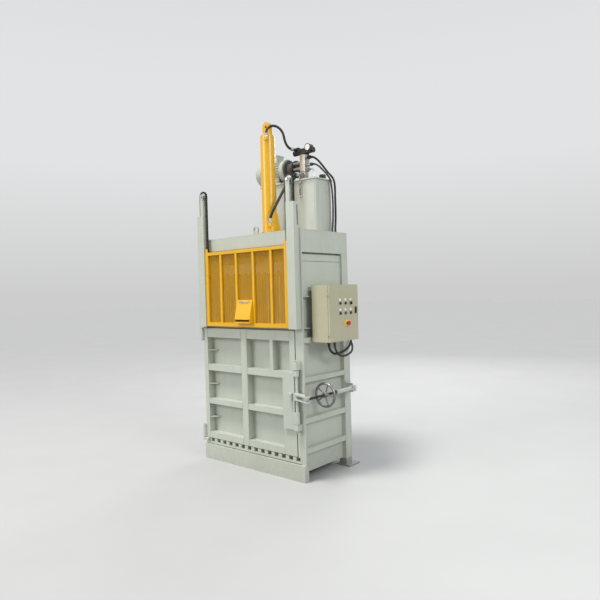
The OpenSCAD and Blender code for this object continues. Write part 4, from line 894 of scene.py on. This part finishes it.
def buildSelector(work):
    y, z = operators["selector_knob"]
    grip = selector["grip"]
    addLathe(work, selector["profile"], (faceX, y, z), outwards, 36)
    addBlock(work, (faceX + grip["from"], y - grip["halfWidth"], z - grip["halfLength"]),
             (faceX + grip["to"], y + grip["halfWidth"], z + grip["halfLength"]), grip["bevel"])


def openRing(outer, high):  # a ring that keeps its hole
    inner, outerEdge, innerEdge = bezel["inner"], bezel["outerEdge"], bezel["innerEdge"]
    return [(inner, 0.0), (outer, 0.0), (outer, high - outerEdge), (outer - outerEdge, high),
            (inner + innerEdge, high), (inner, high - innerEdge)]


def buildBezels(work):
    for y, z in operators.values():
        addLathe(work, openRing(bezel["outer"], bezel["high"]), (faceX, y, z), outwards, 40, True)


def buildTags(work):
    for y, z in operators.values():
        addBlock(work, (faceX - tag["sunk"], y - tag["halfWidth"], z + tag["low"]),
                 (faceX + tag["out"], y + tag["halfWidth"], z + tag["high"]), tag["bevel"])


def buildLock(work):  # an upright oval grip with a bevelled front, the key's barrel and the tongue inside
    y, z, radius, tongue = lockGrip["y"], lockGrip["z"], lockGrip["radius"], lockGrip["tongue"]
    addLathe(work, lockGrip["barrel"], (faceX, y, z), outwards, 32)
    corners = [(radius * math.sin(math.radians(a)), s * lockGrip["halfLength"] + radius * math.cos(math.radians(a)))
               for s, turn in ((1, 0), (-1, 180)) for a in range(turn - 84, turn + 85, 12)]
    skinRings(work, [[work.verts.new((faceX + out, y + cy * (1 - inset / radius),
                                      z + cz * (1 - inset / lockGrip["taper"]))) for cy, cz in corners]
                     for out, inset in lockGrip["layers"]])
    addLathe(work, lockGrip["keyhole"], (faceX, y, z), outwards, 24)
    addBlock(work, (faceX + tongue["from"], y - tongue["half"], z + tongue["low"]),
             (faceX + tongue["to"], y + tongue["half"], z + tongue["high"]), tongue["bevel"])


for number in range(1, buttons["count"] + 1):
    node = f"push_button_{number}"
    makePiece(f"pushButton{number}", shapesOf([(buttons["profile"], (faceX, *operators[node]), outwards, 36)]),
              f"button_{number}", "black_plastic", [node], 40, "greenPlastic" if number == buttons["green"] else None)
makePiece("selectorKnob", buildSelector, "selector", "black_plastic", ["selector_knob"], 35)
makePiece("stopMushroom", shapesOf([(stop["profile"], stop["place"], outwards, 44)]), "stop", "red_plastic",
          ["emergency_stop"], 40)
makePiece("operatorBezels", buildBezels, "panel_door", "bright_steel", smoothAngle=35)
makePiece("operatorTags", buildTags, "panel_door", "tag_plastic", ["label_tags"])
makePiece("stopPlate", shapesOf([(openRing(stop["plate"], stop["plateHigh"]), stop["place"], outwards, 48, True)]),
          "panel_door", "tag_plastic", (), 35, "yellowPlastic")
makePiece("panelLockGrip", buildLock, "panel_lock", "black_plastic", ["cabinet_lock"], 35)


def buildModuleRow(finish):  # equal blocks side by side along Y
    tree, given, end = newTree("moduleRow", {"Count": 6, "Pitch": 0.018, "First": (0, 0, 0),
                                             "Size": (0.01, 0.01, 0.01)})
    line = addNode("GeometryNodeMeshLine", {"Count": given["Count"], "Start Location": given["First"],
                                            "Offset": vectorOf(Y=given["Pitch"])}).outputs[0]
    block = addNode("GeometryNodeMeshCube", {"Size": given["Size"]}).outputs["Mesh"]
    return closeTree(tree, end, copiesAt(line, block), finish)


# Switchgear on the mounting plate: count, pitch, centre of the first block and its size
switchgear = {
    "tag_plastic": {"breakers": (15, 0.0181, (0.7329, -0.1717, 1.575), (0.0767, 0.0176, 0.071)),
                    "breakerNoses": (15, 0.0181, (0.7745, -0.1717, 1.575), (0.0075, 0.017, 0.03)),
                    "contactorPlates": (6, 0.04525, (0.775, -0.1581, 1.455), (0.008, 0.034, 0.03)),
                    "terminals": (30, 0.00905, (0.7329, -0.1762, 1.315), (0.0767, 0.0086, 0.071))},
    "black_plastic": {"breakerLevers": (15, 0.0181, (0.78, -0.1717, 1.577), (0.008, 0.009, 0.01)),
                      "contactors": (6, 0.04525, (0.7329, -0.1581, 1.455), (0.0767, 0.0446, 0.071)),
                      "contactorBridges": (6, 0.04525, (0.7795, -0.1581, 1.455), (0.003, 0.012, 0.016)),
                      # black strips on the terminals' fronts are painted shade for the recessed slots between their
                      # screws
                      "terminalSlotShade": (30, 0.00905, (0.7715, -0.1762, 1.315), (0.0012, 0.005, 0.012))},
}
ducts = {"heights": {1.245: 0.04, 1.385: 0.046, 1.515: 0.034}, "fingers": 42, "pitch": 0.008, "finger": 0.005,
         "depth": 0.0475, "x": 0.7203, "low": -0.199, "wall": 0.0014, "lidX": 0.7448, "lidY": -0.035,
         "lid": 0.002, "length": 0.34}
for ductZ, ductHigh in ducts["heights"].items():
    switchgear["tag_plastic"][f"ductLid{ductZ}"] = (
        1, 0.0, (ducts["lidX"], ducts["lidY"], ductZ), (ducts["lid"], ducts["length"], ductHigh))
    for side in (-1, 1):
        fingersZ = ductZ + side * (ductHigh - ducts["wall"]) / 2
        switchgear["tag_plastic"][f"ductFingers{ductZ}{side}"] = (
            ducts["fingers"], ducts["pitch"], (ducts["x"], ducts["low"], fingersZ),
            (ducts["depth"], ducts["finger"], ducts["wall"]))
for slot, rows in switchgear.items():
    moduleTree = buildModuleRow(slotFinish[slot])
    for rowName, (count, pitch, first, size) in rows.items():
        runTree(rowName, bpy.data.meshes.new(rowName + "Seed"), moduleTree,
                {"Count": count, "Pitch": pitch, "First": first, "Size": size}, "frame", slot)
print("cabinet dressed")

# Power pack: level glass with the tank's fittings, filler cap, pipes and pressure gauge
level = {"left": 0.209, "right": 0.241, "side": 0.0035, "back": 0.1898, "front": 0.1775, "ends": (2.53, 2.662),
         "endHigh": 0.018, "endBevel": 0.0015, "sideBevel": 0.0008,
         "nut": [(0.0095, 0.0), (0.0095, 0.006), (0.0085, 0.0072), (0.0, 0.0072)],
         "nuts": [(0.225, 0.178, 2.539), (0.225, 0.178, 2.671)],
         "oil": ((0.2155, 0.183, 2.549), (0.2345, 0.1892, 2.622), 0.0006),
         "glass": ((0.213, 0.18, 2.5485), (0.237, 0.1825, 2.6615), 0.0006)}
fittings = {"fillerNeck": ([(0.026, 0.0), (0.027, 0.001), (0.027, 0.024), (0.026, 0.026)], (0.33, 0.4, 2.702),
                           (0, 0, 1), 40),
            "breather": ([(0.0155, 0.0), (0.0155, 0.04), (0.013, 0.045)], (0.25, 0.395, 2.702), (0, 0, 1), 28),
            "drainPlug": ([(0.0165, 0.0), (0.0165, 0.006), (0.0115, 0.007), (0.011, 0.015), (0.009, 0.016)],
                          (0.31, 0.19, 2.21), (0, -1, 0), 6)}
fillerCap = {"centre": (0.33, 0.4, 0), "sides": 48,
             "profile": [(0.03, 2.728), (0.033, 2.73), (0.034, 2.734, 0.0012), (0.034, 2.752, 0.0012),
                         (0.032, 2.759), (0.024, 2.762), (0.0, 2.762)]}
returnPipe = {"radius": 0.007, "route": metres([
    [246, 300, 2812], [258, 300, 2812], [270, 300, 2812], [286, 300, 2808], [297, 300, 2797], [301, 300, 2781],
    [301, 300, 2750], [301, 300, 2701]])}
pipeNuts = [([(0.011, 0.0), (0.012, 0.001), (0.012, 0.011), (0.01, 0.012)], (0.247, 0.3, 2.812), (1, 0, 0), 6),
            ([(0.012, 0.0), (0.013, 0.001), (0.013, 0.012), (0.0105, 0.013)], (0.301, 0.3, 2.702), (0, 0, 1), 6),
            ([(0.021, 0.0), (0.022, 0.001), (0.022, 0.012), (0.021, 0.013)], (0.118, 0.32, 2.747), (0, 0, 1), 6)]
suctionPipe = ([(0.029, 0.0), (0.03, 0.001), (0.03, 0.007), (0.029, 0.008), (0.018, 0.008), (0.017, 0.012),
                (0.017, 0.094)], (0.118, 0.32, 2.702), (0, 0, 1), 36)
gauge = {"centre": (0.315, 0.2248, 3.000), "sides": 48,
         "case": [(0.031, 0.0), (0.034, 0.001), (0.0348, 0.003), (0.0348, 0.026), (0.0352, 0.029), (0.0342, 0.0315),
                  (0.03, 0.032), (0.0298, 0.03), (0.0, 0.03)],
         "stem": ([(0.0068, 0.0), (0.0068, 0.046)], (0.315, 0.22, 2.955), (0, 0, 1), 20),
         "dial": [(0.0, 0.0299), (0.0295, 0.0299), (0.0295, 0.0303), (0.0, 0.0303)],
         "marksAt": (0.315, 0.1945, 3.000), "ticks": 28, "firstTick": -135, "tickStep": 10, "tickEnd": 0.027,
         "tickHalf": 0.0004, "longTick": 0.0045, "shortTick": 0.0025, "markHigh": 0.0002,
         "needle": {"along": (-0.6, 0, -0.8), "out": 0.0003, "from": -0.006, "to": 0.023, "halves": (0.001, 0.0003)}}


def levelBlocks():
    left, right, side, back = level["left"], level["right"], level["side"], level["back"]
    low, high = level["ends"]
    blocks = [((left, level["front"], z), (right, back, z + level["endHigh"]), level["endBevel"])
              for z in (low, high)]
    for x in (left, right - side):  # the sides run 2 mm into both ends
        blocks.append(((x, level["front"] + 0.001, low + level["endHigh"] - 0.002), (x + side, back, high + 0.002),
                       level["sideBevel"]))
    return blocks


def buildPipes(work):  # return pipe from the block, suction pipe under the pump
    route = smoothRoute(returnPipe["route"], 6)
    addTube(work, route, [returnPipe["radius"]] * len(route), 16)
    for shape in (*pipeNuts[:2], suctionPipe, pipeNuts[2]):
        addLathe(work, *shape)


def addStroke(work, centre, along, start, end, halves):  # a thin raised stroke on the dial, seen from the front
    across = Vector((along.z, 0, -along.x))
    spots = [(start, -halves[0]), (start, halves[0]), (end, halves[1]), (end, -halves[1])]
    corners = [centre + along * r + across * s for r, s in spots]
    skinRings(work, [[work.verts.new(c + Vector((0, y, 0))) for c in corners] for y in (0.0, -gauge["markHigh"])])


def buildGaugeMarks(work):  # ticks round the dial and the needle
    centre, needle, tickEnd = Vector(gauge["marksAt"]), gauge["needle"], gauge["tickEnd"]
    for k in range(gauge["ticks"]):
        turn = math.radians(gauge["firstTick"] + k * gauge["tickStep"])
        length = gauge["longTick"] if k % 3 == 0 else gauge["shortTick"]
        addStroke(work, centre, Vector((math.sin(turn), 0, math.cos(turn))), tickEnd - length, tickEnd,
                  (gauge["tickHalf"], gauge["tickHalf"]))
    addStroke(work, centre - Vector((0, needle["out"], 0)), Vector(needle["along"]), needle["from"], needle["to"],
              needle["halves"])


def onGauge(profile):
    return profile, gauge["centre"], (0, -1, 0), gauge["sides"]


levelNuts = [(level["nut"], place, (0, -1, 0), 6) for place in level["nuts"]]
makePiece("levelFrame", shapesOf(levelNuts + list(fittings.values()), levelBlocks()), "frame", "bright_steel",
          ["tank_fittings"], 30)
makePiece("fillerCap", shapesOf([(fillerCap["profile"], fillerCap["centre"], (0, 0, 1), fillerCap["sides"])]),
          "frame", "black_plastic", smoothAngle=45)
makePiece("levelOil", shapesOf(blocks=[level["oil"]]), "frame", "bright_steel", finish="amberOil")
makePiece("levelGlass", shapesOf(blocks=[level["glass"]]), "frame", "bright_steel", finish="gaugeGlass")
makePiece("powerPipes", buildPipes, "frame", "bright_steel", smoothAngle=35)
makePiece("pressureGauge", shapesOf([onGauge(gauge["case"]), gauge["stem"]]), "frame", "black_plastic",
          smoothAngle=35)
makePiece("gaugeDial", shapesOf([onGauge(gauge["dial"])]), "frame", "tag_plastic")
makePiece("gaugeMarks", buildGaugeMarks, "frame", "black_plastic")
print("power pack dressed")

# Floor, light and background; colours as read on screen, tints as light
studio = {"floorHalf": 60, "floorLight": (176, 176, 174), "floorDark": (168, 168, 166), "floorBounce": (150, 150, 146),
          "horizon": (204, 205, 204), "background": (226, 227, 228), "overhead": (196, 198, 202),
          "skyLow": 0.36, "skyHigh": 0.86, "skyTint": (0.86, 0.9, 0.96, 1),
          "sun": {"turn": (-0.12, -0.33, 0.94), "strength": 2.5, "spread": 16, "tint": (1.0, 0.985, 0.96)},
          "lamps": {"frontWindow": ((-3.0, -7.5, 4.6), 3.0, 265, (1.0, 0.99, 0.97)),  # place, size, power, tint
                    "rightWindow": ((7.0, -1.0, 4.4), 2.5, 205, (0.96, 0.98, 1.0)),
                    "backWindow": ((-2.0, 6.5, 5.0), 3.5, 170, (0.98, 0.99, 1.0))}}


def makeStage():
    material, tree, shader = newMaterial("paleFloor")
    seen = mixColour(noiseAt(tree, 1.3, 5.0), studio["floorLight"], studio["floorDark"])
    bounced = nodeIn(tree, "ShaderNodeLightPath").outputs["Is Diffuse Ray"]
    feed(shader, {"Base Color": mixColour(bounced, seen, studio["floorBounce"]), "Roughness": 0.7})
    half = studio["floorHalf"]
    mesh = bpy.data.meshes.new("studioFloor")
    mesh.from_pydata([(-half, -half, 0), (half, -half, 0), (half, half, 0), (-half, half, 0)], [], [(0, 1, 2, 3)])
    mesh.materials.append(material)
    addObject("studioFloor", mesh)


def makeSky():  # camera, metal and glass see pale tones, everything else a sky that brightens upwards
    world = bpy.data.worlds.new("studioWorld")
    bpy.context.scene.world = world
    world.use_nodes = True
    tree = world.node_tree
    paths = nodeIn(tree, "ShaderNodeLightPath").outputs
    clear = plus(paths["Is Glossy Ray"], paths["Is Transmission Ray"], True)
    seen = plus(paths["Is Camera Ray"], clear, True)
    place = nodeIn(tree, "ShaderNodeTexCoord").outputs["Generated"]
    height = addNode("ShaderNodeSeparateXYZ", {"Vector": place}).outputs["Z"]
    glow = spread(height, 0.0, 0.9, studio["skyLow"], studio["skyHigh"])
    lit = addNode("ShaderNodeBackground", {"Color": studio["skyTint"], "Strength": glow})
    lower = mixColour(spread(height, 0.0, 0.22), studio["horizon"], studio["background"])
    tone = mixColour(spread(height, 0.35, 1.0), lower, studio["overhead"])
    shown = addNode("ShaderNodeBackground", {"Color": tone, "Strength": 1.0})
    mixed = addNode("ShaderNodeMixShader", {0: seen, 1: lit.outputs[0], 2: shown.outputs[0]})
    feed(tree.nodes["World Output"], {"Surface": mixed.outputs[0]})


def hangLamp(name, data, place, aim):
    lamp = addObject(name, data)
    lamp.location = place
    lamp.rotation_euler = (Vector(aim) - Vector(place)).to_track_quat("-Z", "Y").to_euler()


def makeLamps():
    given, sun = studio["sun"], bpy.data.lights.new("softSun", "SUN")
    sun.energy, sun.angle, sun.color = given["strength"], math.radians(given["spread"]), given["tint"]
    hangLamp("softSun", sun, Vector(given["turn"]) * 8, (0, 0, 0))
    for name, (place, size, power, tint) in studio["lamps"].items():
        panel = bpy.data.lights.new(name, "AREA")
        panel.size, panel.energy, panel.color = size, power, tint
        hangLamp(name, panel, place, (0, 0, 1.5))


makeStage()
makeSky()
makeLamps()
bpy.context.scene.view_settings.view_transform = "Standard"
